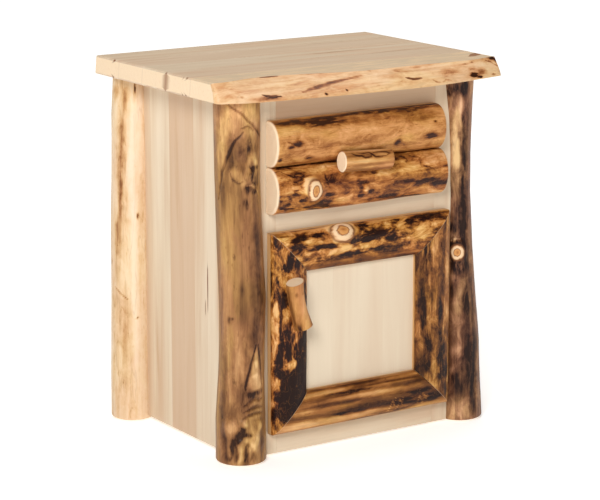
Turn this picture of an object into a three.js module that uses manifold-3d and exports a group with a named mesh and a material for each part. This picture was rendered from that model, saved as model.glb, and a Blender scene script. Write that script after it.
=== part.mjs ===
// Log nightstand: one drawer over one door, between four peeled-log posts, under a live-edge top.
//
// Millimetres, +Z up, the front faces -Y. The origin is on the floor under the centre of the
// object's box. A pair of numbers such as [low, high] is a span along one axis.
// The door group turns about the pins of its two hinges; the drawer group slides along -Y.

import * as THREE from 'three';
import { mergeVertices } from 'three/addons/utils/BufferGeometryUtils.js';
import Module from 'manifold-3d';

const wasm = await Module();
wasm.setup();

// ---- Driving dimensions ------------------------------------------------------------------

const WIDTH = 632;
const DEPTH = 482;
const HEIGHT = 711;
const GAP = 0.3; // clearance between a piece and the pocket that it sits in
const SEAM = 0.2; // glue line between two boards

// Top slab
const TOP_THICK = 35;
const TOP_UNDERSIDE = HEIGHT - TOP_THICK;
const END_BATTER = 3; // how much shorter each end is at the top face than at the underside
const BOARD_SEAMS = [DEPTH / 2, 152, 64, -22, -108]; // from the back edge to the live-edge board

// Face frame and its two openings
const FACE_FRONT = -168;
const FACE_THICK = 19;
const FACE_BACK = FACE_FRONT + FACE_THICK;
const OPENING_X = [-172, 186];
const STILE_OUTER_X = [-218, 230];
const FRAME_FOOT = 5;
const DOOR_OPENING_Z = [57, 413];
const DRAWER_OPENING_Z = [472, 620];

// Side, back, floor and dust panels
const SIDE_OUTER = 258;
const SIDE_THICK = 18;
const SIDE_Y = [-135, 176];
const SIDE_FOOT = 10;
const BACK_Y = [195, 204];
const BACK_HALF_WIDTH = 242;
const FLOOR_THICK = 18;
const DUST_PANEL_Z = [440, 452];
const FRONT_NOTCH = { x: 194, y: -106 }; // where the inner panels step round the posts
const REAR_NOTCH = { x: 221, y: 152 };

// Posts stand on glides
const GLIDE_RADIUS = 14;
const GLIDE_THICK = 3.2;
const POST_FOOT = GLIDE_THICK + GAP;
const POST_HEAD = TOP_UNDERSIDE - GAP;
const POST_EDGE_RADIUS = 6;

// Drawer
const DRAWER_LOG_X = { lower: [-194, 190], upper: [-194, 184] };
const DRAWER_LOG_Z = [460, 547, 632]; // foot of the lower half-log, joint, head of the upper one
const DRAWER_LOG_CROWN = 40;
const LOG_EDGE = 6; // thickness left at a half-log's sawn edge
const DRAWER_BACK_PLANE = FACE_FRONT - 2.2; // flat backs of the half-logs
const SUBFRONT_X = [-169, 183];
const SUBFRONT_Z = [477, 615];
const SUBFRONT_THICK = 16;
const BOX_Z = [482, 604];
const BOX_REAR = 152;
const BOX_WALL = 12.7;
const BOX_BOTTOM_Z = [490, 496];
const GROOVE = 5;

// Drawer slides, one on each side: outer, middle and inner members
const SLIDE_THICK = 12.9;
const SLIDE_CENTRE_Z = 545;
const SLIDE_LENGTH = 300;
const SLIDE_FRONT = -146;
const SLIDE_SHEET = 1.2;
const RUNNER_THICK = 18.5;
const RUNNER_Z = [515, 575];

// Door
const DOOR_X = [-193, 209];
const DOOR_Z = [46, 426];
const DOOR_BACK_PLANE = FACE_FRONT - 3.2;
const DOOR_CROWN = 30;
const DOOR_OUTER_EDGE = 12;
const DOOR_INNER_EDGE = 16;
const MEMBER_WIDTH = { left: 74, right: 80, top: 77, bottom: 76 };
const DOOR_PANEL_THICK = 9.4;
const DOOR_PANEL_LAP = 10;

// Hinges: the pin stands just outside the door's right edge
const HINGE_AXIS = { x: 212.7, y: -176.6 };
const HINGE_CENTRES_Z = [112, 360];
const HINGE_HEIGHT = 50;
const KNUCKLE_RADIUS = 3;
const PIN_RADIUS = 1.4;
const PIN_BORE_RADIUS = 1.7;
const LEAF_THICK = 1.1;

// ---- Materials ---------------------------------------------------------------------------

function material(color, roughness, metalness = 0) {
  return new THREE.MeshStandardMaterial({ color, roughness, metalness });
}

const postLog = material(0xa9794a, 0.35);
const halfLog = material(0xb98950, 0.35);
const twig = material(0xcf9c66, 0.4);
const topWood = material(0xd8c3a0, 0.4);
const paleWood = material(0xe9d8b8, 0.45);
const boxWood = material(0xdcc39a, 0.55);
const slideSteel = material(0xb9bcc0, 0.3, 1);
const hingeBronze = material(0x4a3a2c, 0.4, 0.9);
const screwSteel = material(0xc8c29a, 0.35, 1);
const catchPlastic = material(0x3a2c22, 0.6);
const glidePlastic = material(0x2a221c, 0.6);

// ---- Solids ------------------------------------------------------------------------------

function span([low, high]) {
  return high - low;
}

function middle([low, high]) {
  return (low + high) / 2;
}

function mirrored([low, high]) {
  return [-high, -low];
}

function block(x, y, z, grow = 0) {
  const geometry = new THREE.BoxGeometry(span(x) + 2 * grow, span(y) + 2 * grow, span(z) + 2 * grow);
  return geometry.translate(middle(x), middle(y), middle(z));
}

function toManifold(geometry) {
  const bare = new THREE.BufferGeometry();
  bare.setAttribute('position', geometry.getAttribute('position'));
  if (geometry.index) bare.setIndex(geometry.index);
  const merged = mergeVertices(bare, 1e-4);
  return new wasm.Manifold(new wasm.Mesh({
    numProp: 3,
    vertProperties: new Float32Array(merged.getAttribute('position').array),
    triVerts: new Uint32Array(merged.index.array),
  }));
}

function fromManifold(solid) {
  const mesh = solid.getMesh();
  const geometry = new THREE.BufferGeometry();
  geometry.setAttribute('position', new THREE.BufferAttribute(mesh.vertProperties, 3));
  geometry.setIndex(new THREE.BufferAttribute(mesh.triVerts, 1));
  geometry.computeVertexNormals();
  return geometry;
}

function cut(geometry, cutters) {
  return fromManifold(cutters.reduce((solid, cutter) => solid.subtract(toManifold(cutter)), toManifold(geometry)));
}

function join(geometries) {
  const [first, ...others] = geometries.map(toManifold);
  return fromManifold(others.reduce((solid, other) => solid.add(other), first));
}

function common(geometry, other) {
  return fromManifold(toManifold(geometry).intersect(toManifold(other)));
}

function addPiece(group, name, geometry, look) {
  const mesh = new THREE.Mesh(geometry, look);
  mesh.name = name;
  group.add(mesh);
  return mesh;
}

// A flat shape drawn as [across, out] and swept at right angles to both, from its start point.
function sweep(shape, start, across, out, length) {
  const along = new THREE.Vector3().crossVectors(across, out);
  const geometry = new THREE.ExtrudeGeometry(shape, { depth: length, bevelEnabled: false, curveSegments: 12 });
  geometry.applyMatrix4(new THREE.Matrix4().makeBasis(across, out, along));
  return geometry.translate(...start);
}

function polygon(points) {
  return new THREE.Shape(points.map(([x, y]) => new THREE.Vector2(x, y)));
}

const RIGHT = new THREE.Vector3(1, 0, 0);
const LEFT = new THREE.Vector3(-1, 0, 0);
const UP = new THREE.Vector3(0, 0, 1);
const DOWN = new THREE.Vector3(0, 0, -1);
const FORWARD = new THREE.Vector3(0, -1, 0);
const BACKWARD = new THREE.Vector3(0, 1, 0);

// A turned rod along +Z, with a rounded edge at each end.
function rod(radius, length, edge, segments = 12) {
  const profile = [
    new THREE.Vector2(0, 0),
    new THREE.Vector2(radius - edge, 0),
    new THREE.Vector2(radius, edge),
    new THREE.Vector2(radius, length - edge),
    new THREE.Vector2(radius - edge, length),
    new THREE.Vector2(0, length),
  ];
  return new THREE.LatheGeometry(profile, segments).rotateX(Math.PI / 2);
}

function cylinder(radius, z, segments = 12) {
  return new THREE.CylinderGeometry(radius, radius, span(z), segments).rotateX(Math.PI / 2).translate(0, 0, middle(z));
}

// ---- Top slab ----------------------------------------------------------------------------

// The bark edge of the front board slopes: its top arris lies further back than its bottom one.
const liveEdgeTop = new THREE.SplineCurve([
  [-316, -183], [-246, -164], [-160, -168], [-80, -187], [-10, -205],
  [80, -200], [172, -198], [250, -201], [316, -187],
].map(([x, y]) => new THREE.Vector2(x, y)));

const liveEdgeBottom = new THREE.SplineCurve([
  [-316, -197], [-250, -221], [-160, -230], [-60, -237], [60, -241],
  [150, -237], [234, -222], [316, -204],
].map(([x, y]) => new THREE.Vector2(x, y)));

function edgeAt(curve, fraction) {
  return curve.getPoint(fraction);
}

// Ends lean in slightly towards the top face.
function batterEnds(geometry) {
  const position = geometry.getAttribute('position');
  for (let i = 0; i < position.count; i += 1) {
    const rise = (position.getZ(i) - TOP_UNDERSIDE) / TOP_THICK;
    position.setX(i, position.getX(i) * (1 - (rise * END_BATTER) / (WIDTH / 2)));
  }
  return geometry;
}

function liveEdgeBoard(rear) {
  const points = 24;
  const outline = [[WIDTH / 2, rear], [-WIDTH / 2, rear]];
  for (let i = 0; i <= points; i += 1) outline.push(edgeAt(liveEdgeBottom, i / points).toArray());
  const steps = 3;
  const geometry = new THREE.ExtrudeGeometry(polygon(outline), { depth: TOP_THICK, steps, bevelEnabled: false });
  const position = geometry.getAttribute('position');
  for (let i = 0; i < position.count; i += 1) {
    if (position.getY(i) > rear - 1) continue;
    const fraction = (position.getX(i) + WIDTH / 2) / WIDTH;
    const rise = position.getZ(i) / TOP_THICK;
    const setback = edgeAt(liveEdgeTop, fraction).y - edgeAt(liveEdgeBottom, fraction).y;
    position.setY(i, position.getY(i) + setback * rise ** 1.4);
  }
  return batterEnds(geometry.translate(0, 0, TOP_UNDERSIDE));
}

function buildTop(group) {
  const z = [TOP_UNDERSIDE, HEIGHT];
  const fullWidth = [-WIDTH / 2, WIDTH / 2];
  for (let i = 0; i + 1 < BOARD_SEAMS.length; i += 1) {
    const y = [BOARD_SEAMS[i + 1] + SEAM, BOARD_SEAMS[i]];
    addPiece(group, `top_board_${i + 1}`, batterEnds(block(fullWidth, y, z)), topWood);
  }
  const front = liveEdgeBoard(BOARD_SEAMS.at(-1));
  addPiece(group, 'top_board_live_edge', front, topWood);
}

// ---- Posts -------------------------------------------------------------------------------

// Each log is a pile of round sections: height, centre and radius.
const POSTS = {
  post_front_left: [
    { z: 0, x: -243, y: -158, r: 47.3 },
    { z: 90, x: -244, y: -158, r: 46 },
    { z: 200, x: -241, y: -158, r: 41.4 },
    { z: 275, x: -237.5, y: -158, r: 43.6 },
    { z: 400, x: -242.5, y: -158, r: 42.8 },
    { z: 516, x: -247.5, y: -157, r: 41.4 },
    { z: 676, x: -247.8, y: -157, r: 42.6 },
  ],
  post_front_right: [
    { z: 0, x: 263.5, y: -151, r: 46 },
    { z: 130, x: 260, y: -151, r: 42.6 },
    { z: 250, x: 256.3, y: -151, r: 36.8 },
    { z: 354, x: 250.5, y: -151, r: 31.5 },
    { z: 490, x: 247.5, y: -151, r: 28.6 },
    { z: 590, x: 245.5, y: -151, r: 32 },
    { z: 676, x: 241.5, y: -151, r: 38.3 },
  ],
  post_rear_left: [
    { z: 0, x: -269.5, y: 198, r: 42 },
    { z: 340, x: -266, y: 198, r: 41 },
    { z: 610, x: -261.5, y: 198, r: 40.5 },
    { z: 676, x: -256.5, y: 198, r: 40 },
  ],
  post_rear_right: [
    { z: 0, x: 267, y: 198, r: 42 },
    { z: 340, x: 264, y: 198, r: 40.5 },
    { z: 676, x: 263, y: 198, r: 40 },
  ],
};

function sectionAt(sections, z) {
  const upper = Math.max(1, sections.findIndex((section) => section.z >= z));
  const [a, b] = [sections[upper - 1], sections[upper]];
  const t = THREE.MathUtils.smoothstep(z, a.z, b.z);
  const between = (key) => THREE.MathUtils.lerp(a[key], b[key], t);
  return { x: between('x'), y: between('y'), r: between('r') };
}

function logGeometry(sections) {
  const rings = 9;
  const profile = [new THREE.Vector2(0, POST_FOOT)];
  const footRadius = sectionAt(sections, POST_FOOT).r;
  profile.push(new THREE.Vector2(footRadius - POST_EDGE_RADIUS, POST_FOOT));
  profile.push(new THREE.Vector2(footRadius - POST_EDGE_RADIUS / 4, POST_FOOT + POST_EDGE_RADIUS / 3));
  for (let i = 0; i <= rings; i += 1) {
    const z = THREE.MathUtils.lerp(POST_FOOT + POST_EDGE_RADIUS, POST_HEAD, i / rings);
    profile.push(new THREE.Vector2(sectionAt(sections, z).r, z));
  }
  profile.push(new THREE.Vector2(0, POST_HEAD));
  const geometry = new THREE.LatheGeometry(profile, 20).rotateX(Math.PI / 2);
  const position = geometry.getAttribute('position');
  for (let i = 0; i < position.count; i += 1) {
    const centre = sectionAt(sections, position.getZ(i));
    position.setXYZ(i, position.getX(i) + centre.x, position.getY(i) + centre.y, position.getZ(i));
  }
  return geometry;
}

const BEYOND_POST_Z = [-10, HEIGHT];

// Slots that the stiles, side panels and back panel slide into, from below.
function postSlots(name) {
  const isLeft = name.endsWith('left');
  const isFront = name.includes('front');
  const sideSpan = [SIDE_OUTER - SIDE_THICK, SIDE_OUTER];
  const slots = [block(isLeft ? mirrored(sideSpan) : sideSpan, SIDE_Y, BEYOND_POST_Z, GAP)];
  if (isFront) {
    const stileSpan = isLeft ? [STILE_OUTER_X[0], OPENING_X[0]] : [OPENING_X[1], STILE_OUTER_X[1]];
    slots.push(block(stileSpan, [FACE_FRONT, FACE_BACK], BEYOND_POST_Z, GAP));
  } else {
    slots.push(block([-BACK_HALF_WIDTH, BACK_HALF_WIDTH], BACK_Y, BEYOND_POST_Z, GAP));
  }
  return slots;
}

function buildPosts(group) {
  for (const [name, sections] of Object.entries(POSTS)) {
    addPiece(group, name, cut(logGeometry(sections), postSlots(name)), postLog);
    const foot = sections[0];
    const glide = rod(GLIDE_RADIUS, GLIDE_THICK, 1).translate(foot.x, foot.y, 0);
    addPiece(group, name.replace('post', 'glide'), glide, glidePlastic);
  }
}

// ---- Face frame and panels ---------------------------------------------------------------

function buildFaceFrame(group) {
  const y = [FACE_FRONT, FACE_BACK];
  const fullHeight = [FRAME_FOOT, POST_HEAD];
  const railX = [OPENING_X[0] + SEAM, OPENING_X[1] - SEAM];
  addPiece(group, 'stile_left', block([STILE_OUTER_X[0], OPENING_X[0]], y, fullHeight), paleWood);
  addPiece(group, 'stile_right', block([OPENING_X[1], STILE_OUTER_X[1]], y, fullHeight), paleWood);
  addPiece(group, 'rail_top', block(railX, y, [DRAWER_OPENING_Z[1], POST_HEAD]), paleWood);
  addPiece(group, 'rail_middle', block(railX, y, [DOOR_OPENING_Z[1], DRAWER_OPENING_Z[0]]), paleWood);
  addPiece(group, 'rail_bottom', block(railX, y, [FRAME_FOOT, DOOR_OPENING_Z[0]]), paleWood);
}

// A level panel whose four corners step round the posts.
function innerPanel(z) {
  const edge = SIDE_OUTER - SIDE_THICK - GAP;
  const front = FACE_BACK + GAP;
  const rear = BACK_Y[0] - GAP;
  const rightHalf = [
    [FRONT_NOTCH.x, front], [FRONT_NOTCH.x, FRONT_NOTCH.y], [edge, FRONT_NOTCH.y],
    [edge, REAR_NOTCH.y], [REAR_NOTCH.x, REAR_NOTCH.y], [REAR_NOTCH.x, rear],
  ];
  const leftHalf = rightHalf.map(([x, y]) => [-x, y]).reverse();
  return sweep(polygon([...rightHalf, ...leftHalf]), [0, 0, z[0]], RIGHT, BACKWARD, span(z));
}

function buildPanels(group) {
  const sideZ = [SIDE_FOOT, POST_HEAD];
  const sideSpan = [SIDE_OUTER - SIDE_THICK, SIDE_OUTER];
  addPiece(group, 'side_panel_left', block(mirrored(sideSpan), SIDE_Y, sideZ), paleWood);
  addPiece(group, 'side_panel_right', block(sideSpan, SIDE_Y, sideZ), paleWood);
  const backSpan = [-BACK_HALF_WIDTH, BACK_HALF_WIDTH];
  addPiece(group, 'back_panel', block(backSpan, BACK_Y, sideZ), paleWood);
  const floorTop = DOOR_OPENING_Z[0];
  addPiece(group, 'cabinet_floor', innerPanel([floorTop - FLOOR_THICK, floorTop]), paleWood);
  addPiece(group, 'dust_panel', innerPanel(DUST_PANEL_Z), paleWood);
}

// Square battens that the top slab is screwed to, one along each side panel.
function buildTopCleats(group) {
  const size = 19;
  const inner = SIDE_OUTER - SIDE_THICK - GAP;
  const x = [inner - size, inner];
  const y = [FRONT_NOTCH.y, REAR_NOTCH.y];
  const z = [POST_HEAD - size, POST_HEAD];
  addPiece(group, 'top_cleat_left', block(mirrored(x), y, z), boxWood);
  addPiece(group, 'top_cleat_right', block(x, y, z), boxWood);
}

// ---- Drawer slides -----------------------------------------------------------------------

// A C-shaped sheet channel: `wall` is where its web stands and `inward` which way it opens.
function channel(wall, inward, depth, height, length, front) {
  const half = height / 2;
  const outline = [
    [0, -half], [depth, -half], [depth, -half + SLIDE_SHEET], [SLIDE_SHEET, -half + SLIDE_SHEET],
    [SLIDE_SHEET, half - SLIDE_SHEET], [depth, half - SLIDE_SHEET], [depth, half], [0, half],
  ].map(([x, z]) => [inward * x, z]);
  const shape = polygon(inward > 0 ? outline : outline.reverse());
  return sweep(shape, [wall, front + length, SLIDE_CENTRE_Z], RIGHT, UP, length);
}

function buildSlide(side, groups) {
  const inward = side === 'left' ? 1 : -1;
  const openingEdge = side === 'left' ? OPENING_X[0] : OPENING_X[1];
  const fixedWall = openingEdge;
  const middleWall = fixedWall + inward * 1.9;
  const drawerWall = fixedWall + inward * (SLIDE_THICK - GAP);
  const outer = channel(fixedWall, inward, 10, 45, SLIDE_LENGTH, SLIDE_FRONT);
  const centre = channel(middleWall, inward, 8, 41, SLIDE_LENGTH - 20, SLIDE_FRONT);
  const inner = channel(drawerWall, -inward, 8.5, 36, SLIDE_LENGTH, SLIDE_FRONT - 2);
  addPiece(groups.frame, `slide_outer_${side}`, outer, slideSteel);
  addPiece(groups[side], `slide_middle_${side}`, centre, slideSteel);
  addPiece(groups.drawer, `slide_inner_${side}`, inner, slideSteel);
  const runnerFace = openingEdge - inward * GAP;
  const runnerX = [runnerFace, runnerFace - inward * RUNNER_THICK].sort((a, b) => a - b);
  const runner = block(runnerX, [FACE_BACK + GAP, BACK_Y[0] - GAP], RUNNER_Z);
  addPiece(groups.frame, `slide_runner_${side}`, runner, boxWood);
}

// ---- Half-logs ---------------------------------------------------------------------------

// Section of a split log lying on its sawn face, drawn from its low edge to its high edge.
function halfLogShape(width, crown, lowEdge, highEdge) {
  const steps = 12;
  const points = [[width, 0], [0, 0]];
  for (let i = 0; i <= steps; i += 1) {
    const turn = (Math.PI * i) / steps;
    const edge = THREE.MathUtils.lerp(lowEdge, highEdge, i / steps);
    points.push([(width / 2) * (1 - Math.cos(turn)), edge + (crown - edge) * Math.sin(turn)]);
  }
  return polygon(points.reverse());
}

// ---- Drawer ------------------------------------------------------------------------------

// flat is the peg's depth over its height, droop is in degrees.
const PEG = { radius: 19.8, flat: 0.79, length: 111.3, x: -6.5, y: -216.4, z: 547.8, edge: 2, droop: 3.1 };
const PEG_SCREW_SPACING = 64;
const SCREW = { radius: 2.2, headRadius: 4.2, headHeight: 2.4 };

// A screw that points forwards, from its head's back face to its tip.
function forwardScrew(x, z, headBack, length) {
  const shank = cylinder(SCREW.radius, [SCREW.headHeight / 2, length], 10);
  const head = cylinder(SCREW.headRadius, [0, SCREW.headHeight], 12);
  return join([head, shank]).rotateX(Math.PI / 2).translate(x, headBack, z);
}

function screwHole(x, z, headBack, length) {
  return cylinder(SCREW.radius + GAP, [-1, length + GAP], 10).rotateX(Math.PI / 2).translate(x, headBack, z);
}

function buildDrawerFront(group) {
  const subfrontY = [DRAWER_BACK_PLANE + GAP, DRAWER_BACK_PLANE + GAP + SUBFRONT_THICK];
  const screwX = [PEG.x - PEG_SCREW_SPACING / 2, PEG.x + PEG_SCREW_SPACING / 2];
  const headBack = subfrontY[1] + GAP + SCREW.headHeight;
  const reach = headBack - PEG.y;
  const holes = screwX.map((x) => screwHole(x, PEG.z, headBack, reach));
  const subfront = cut(block(SUBFRONT_X, subfrontY, SUBFRONT_Z), holes);
  addPiece(group, 'drawer_subfront', subfront, boxWood);
  Object.entries(DRAWER_LOG_X).forEach(([name, x], i) => {
    const [low, high] = [DRAWER_LOG_Z[i], DRAWER_LOG_Z[i + 1]];
    const shape = halfLogShape(high - low - SEAM, DRAWER_LOG_CROWN, LOG_EDGE, LOG_EDGE);
    const log = sweep(shape, [x[0], DRAWER_BACK_PLANE, low], UP, FORWARD, span(x));
    addPiece(group, `drawer_half_log_${name}`, cut(log, holes), halfLog);
  });
  const peg = rod(PEG.radius, PEG.length, PEG.edge, 16).scale(1, PEG.flat, 1).translate(0, 0, -PEG.length / 2);
  peg.rotateY(Math.PI / 2 + THREE.MathUtils.degToRad(PEG.droop)).translate(PEG.x, PEG.y, PEG.z);
  addPiece(group, 'drawer_pull_peg', cut(peg, holes), twig);
  screwX.forEach((x, i) => {
    addPiece(group, `drawer_pull_screw_${i + 1}`, forwardScrew(x, PEG.z, headBack, reach), screwSteel);
  });
  return subfrontY[1] + GAP;
}

function buildDrawerBox(group, front) {
  const outerX = [OPENING_X[0] + SLIDE_THICK, OPENING_X[1] - SLIDE_THICK];
  const leftX = [outerX[0], outerX[0] + BOX_WALL];
  const rightX = [outerX[1] - BOX_WALL, outerX[1]];
  const sideY = [front, BOX_REAR];
  const bottomX = [leftX[1] - GROOVE, rightX[0] + GROOVE];
  const bottomY = [front, BOX_REAR - BOX_WALL + GROOVE];
  const groove = block(bottomX, bottomY, BOX_BOTTOM_Z, GAP);
  addPiece(group, 'drawer_side_left', cut(block(leftX, sideY, BOX_Z), [groove]), boxWood);
  addPiece(group, 'drawer_side_right', cut(block(rightX, sideY, BOX_Z), [groove]), boxWood);
  const backX = [leftX[1] + SEAM, rightX[0] - SEAM];
  const back = cut(block(backX, [BOX_REAR - BOX_WALL, BOX_REAR], BOX_Z), [groove]);
  addPiece(group, 'drawer_back', back, boxWood);
  addPiece(group, 'drawer_bottom', block(bottomX, [front + GAP, bottomY[1]], BOX_BOTTOM_Z), boxWood);
}

// ---- Door --------------------------------------------------------------------------------

const DOOR_PULL_PATH = [[-164, 341], [-154, 300], [-143, 254]];
const DOOR_PULL_RADIUS = 16;
const DOOR_PULL_SCREW_Z = 292;

function memberPlan() {
  const [left, right] = DOOR_X;
  const [foot, head] = DOOR_Z;
  const inner = {
    x: [left + MEMBER_WIDTH.left, right - MEMBER_WIDTH.right],
    z: [foot + MEMBER_WIDTH.bottom, head - MEMBER_WIDTH.top],
  };
  const [innerLeft, innerRight] = inner.x;
  const [innerFoot, innerHead] = inner.z;
  const members = {
    left: {
      start: [left, head], across: RIGHT, length: head - foot,
      outline: [[left, foot + SEAM], [innerLeft, innerFoot + SEAM], [innerLeft, innerHead - SEAM], [left, head - SEAM]],
    },
    right: {
      start: [right, foot], across: LEFT, length: head - foot,
      outline: [[right, head - SEAM], [innerRight, innerHead - SEAM], [innerRight, innerFoot + SEAM], [right, foot + SEAM]],
    },
    top: {
      start: [right, head], across: DOWN, length: right - left,
      outline: [[left + SEAM, head], [innerLeft + SEAM, innerHead], [innerRight - SEAM, innerHead], [right - SEAM, head]],
    },
    bottom: {
      start: [left, foot], across: UP, length: right - left,
      outline: [[right - SEAM, foot], [innerRight - SEAM, innerFoot], [innerLeft + SEAM, innerFoot], [left + SEAM, foot]],
    },
  };
  return { members, inner };
}

function mitreBlock(outline) {
  const reach = DOOR_CROWN + 10;
  return sweep(polygon(outline), [0, DOOR_BACK_PLANE + 5, 0], RIGHT, UP, reach);
}

function doorPull() {
  const crownFront = DOOR_BACK_PLANE - DOOR_CROWN;
  const y = crownFront - DOOR_PULL_RADIUS - GAP;
  const path = new THREE.CatmullRomCurve3(DOOR_PULL_PATH.map(([x, z]) => new THREE.Vector3(x, y, z)));
  const section = new THREE.Shape().absarc(0, 0, DOOR_PULL_RADIUS, 0, 2 * Math.PI);
  return new THREE.ExtrudeGeometry(section, { extrudePath: path, steps: 6, bevelEnabled: false, curveSegments: 8 });
}

function buildDoor(group) {
  const { members, inner } = memberPlan();
  const panelX = [inner.x[0] - DOOR_PANEL_LAP, inner.x[1] + DOOR_PANEL_LAP];
  const panelZ = [inner.z[0] - DOOR_PANEL_LAP, inner.z[1] + DOOR_PANEL_LAP];
  const panelY = [DOOR_BACK_PLANE - DOOR_PANEL_THICK, DOOR_BACK_PLANE];
  const rabbet = block(panelX, [panelY[0], DOOR_BACK_PLANE + 5], panelZ, GAP);
  const pullX = middle([DOOR_X[0], inner.x[0]]);
  const headBack = DOOR_BACK_PLANE - GAP;
  const reach = DOOR_CROWN + DOOR_PULL_RADIUS;
  const hole = screwHole(pullX, DOOR_PULL_SCREW_Z, headBack, reach);
  const counterbore = cylinder(SCREW.headRadius + GAP, [-5, SCREW.headHeight + GAP], 12)
    .rotateX(Math.PI / 2).translate(pullX, headBack, DOOR_PULL_SCREW_Z);
  for (const [side, { start, across, length, outline }] of Object.entries(members)) {
    const shape = halfLogShape(MEMBER_WIDTH[side], DOOR_CROWN, DOOR_OUTER_EDGE, DOOR_INNER_EDGE);
    const whole = sweep(shape, [start[0], DOOR_BACK_PLANE, start[1]], across, FORWARD, length);
    const cutters = side === 'left' ? [rabbet, hole, counterbore] : [rabbet];
    addPiece(group, `door_half_log_${side}`, cut(common(whole, mitreBlock(outline)), cutters), halfLog);
  }
  addPiece(group, 'door_panel', block(panelX, panelY, panelZ), paleWood);
  addPiece(group, 'door_pull_branch', cut(doorPull(), [hole]), twig);
  addPiece(group, 'door_pull_screw', forwardScrew(pullX, DOOR_PULL_SCREW_Z, headBack, reach), screwSteel);
}

// ---- Hinges and catch --------------------------------------------------------------------

// Three knuckles share one pin: the outer two and the pin belong to the frame's leaf.
function buildHinge(level, centreZ, groups) {
  const { x, y } = HINGE_AXIS;
  const knuckleHeight = HINGE_HEIGHT / 3;
  const low = centreZ - HINGE_HEIGHT / 2;
  const ring = (from, to) => cylinder(KNUCKLE_RADIUS, [low + from, low + to], 12).translate(x, y, 0);
  const frameLeafY = [FACE_FRONT - LEAF_THICK - GAP, FACE_FRONT - GAP];
  const doorLeafY = [DOOR_BACK_PLANE + GAP / 2, DOOR_BACK_PLANE + GAP / 2 + LEAF_THICK];
  const whole = [low, low + HINGE_HEIGHT];
  const web = (from, to, reachY) => block([x - 1.2, x + 1.2], [y, reachY], [low + from, low + to]);
  const lowKnuckle = [0, knuckleHeight - GAP];
  const highKnuckle = [2 * knuckleHeight + GAP, HINGE_HEIGHT];
  const frameLeaf = join([
    block([OPENING_X[1] + 1, x + 1.2], frameLeafY, whole),
    web(...lowKnuckle, frameLeafY[1]),
    web(...highKnuckle, frameLeafY[1]),
    ring(...lowKnuckle),
    ring(...highKnuckle),
    cylinder(PIN_RADIUS, [low + 1, low + HINGE_HEIGHT - 1], 12).translate(x, y, 0),
  ]);
  const middleKnuckle = [knuckleHeight + GAP, 2 * knuckleHeight - GAP];
  const doorLeafSolid = join([
    block([DOOR_X[1] - 32, DOOR_X[1]], doorLeafY, whole),
    block([DOOR_X[1] - 1, x], doorLeafY, [low + middleKnuckle[0], low + middleKnuckle[1]]),
    block([DOOR_X[1] + GAP, x], [y, doorLeafY[1]], [low + middleKnuckle[0], low + middleKnuckle[1]]),
    ring(...middleKnuckle),
  ]);
  const bore = cylinder(PIN_BORE_RADIUS, whole, 12).translate(x, y, 0);
  addPiece(groups.frame, `hinge_frame_leaf_${level}`, frameLeaf, hingeBronze);
  addPiece(groups.door, `hinge_door_leaf_${level}`, cut(doorLeafSolid, [bore]), hingeBronze);
}

// A magnetic catch on the left stile and the strike plate on the back of the door.
function buildCatch(groups) {
  const z = [214, 258];
  const x = [OPENING_X[0] + GAP, OPENING_X[0] + 14];
  const magnetFront = FACE_FRONT - 1.4;
  addPiece(groups.frame, 'magnetic_catch', block(x, [magnetFront, magnetFront + 40], z), catchPlastic);
  const plateY = [DOOR_BACK_PLANE + GAP, DOOR_BACK_PLANE + 1.3];
  addPiece(groups.door, 'catch_strike_plate', block([x[0] + 1, x[1] + 4], plateY, z), slideSteel);
}

// ---- Assembly ----------------------------------------------------------------------------

const nightstand = new THREE.Group();
const groups = {
  frame: new THREE.Group(),
  drawer: new THREE.Group(),
  left: new THREE.Group(),
  right: new THREE.Group(),
  door: new THREE.Group(),
};
nightstand.add(...Object.values(groups));

buildTop(groups.frame);
buildPosts(groups.frame);
buildFaceFrame(groups.frame);
buildPanels(groups.frame);
buildTopCleats(groups.frame);
buildSlide('left', groups);
buildSlide('right', groups);
buildDrawerBox(groups.drawer, buildDrawerFront(groups.drawer));
buildDoor(groups.door);
buildHinge('lower', HINGE_CENTRES_Z[0], groups);
buildHinge('upper', HINGE_CENTRES_Z[1], groups);
buildCatch(groups);

export default nightstand;
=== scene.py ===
"""Looks of the log nightstand: peeled logs, split-log fronts, pale staves and a live-edge top.

Metres, +Z up, the front faces -Y, as in the CAD frame. Places come from the frame's boxes and
meshes. Marks on the wood are given in mm: on a board as (across, along), on a post as
(degrees round, height), on a split log as (percent of the way over its crown, place along it).
"""

import math

import bpy
import numpy as np
from mathutils import Matrix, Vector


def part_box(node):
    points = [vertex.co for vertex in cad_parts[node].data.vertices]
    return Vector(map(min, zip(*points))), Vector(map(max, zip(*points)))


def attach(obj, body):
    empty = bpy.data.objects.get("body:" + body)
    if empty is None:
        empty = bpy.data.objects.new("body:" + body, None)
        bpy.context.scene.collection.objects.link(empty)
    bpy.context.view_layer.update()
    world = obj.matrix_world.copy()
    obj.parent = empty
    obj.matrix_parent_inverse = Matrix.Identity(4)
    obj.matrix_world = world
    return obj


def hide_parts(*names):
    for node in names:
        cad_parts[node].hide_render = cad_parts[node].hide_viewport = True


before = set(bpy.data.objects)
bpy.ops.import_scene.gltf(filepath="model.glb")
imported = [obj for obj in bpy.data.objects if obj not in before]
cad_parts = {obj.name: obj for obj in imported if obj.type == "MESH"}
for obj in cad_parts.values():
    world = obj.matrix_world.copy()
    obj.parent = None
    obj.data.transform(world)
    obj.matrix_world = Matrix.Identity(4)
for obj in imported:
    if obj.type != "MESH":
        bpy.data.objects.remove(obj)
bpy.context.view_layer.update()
MM = 0.001

# ---- Noise ---------------------------------------------------------

CELL_PRIMES = (374761393, 668265263, 1442695041)
MIX_PRIME = 1274126177
LOW_BITS = 0xFFFFFFFF


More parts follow.
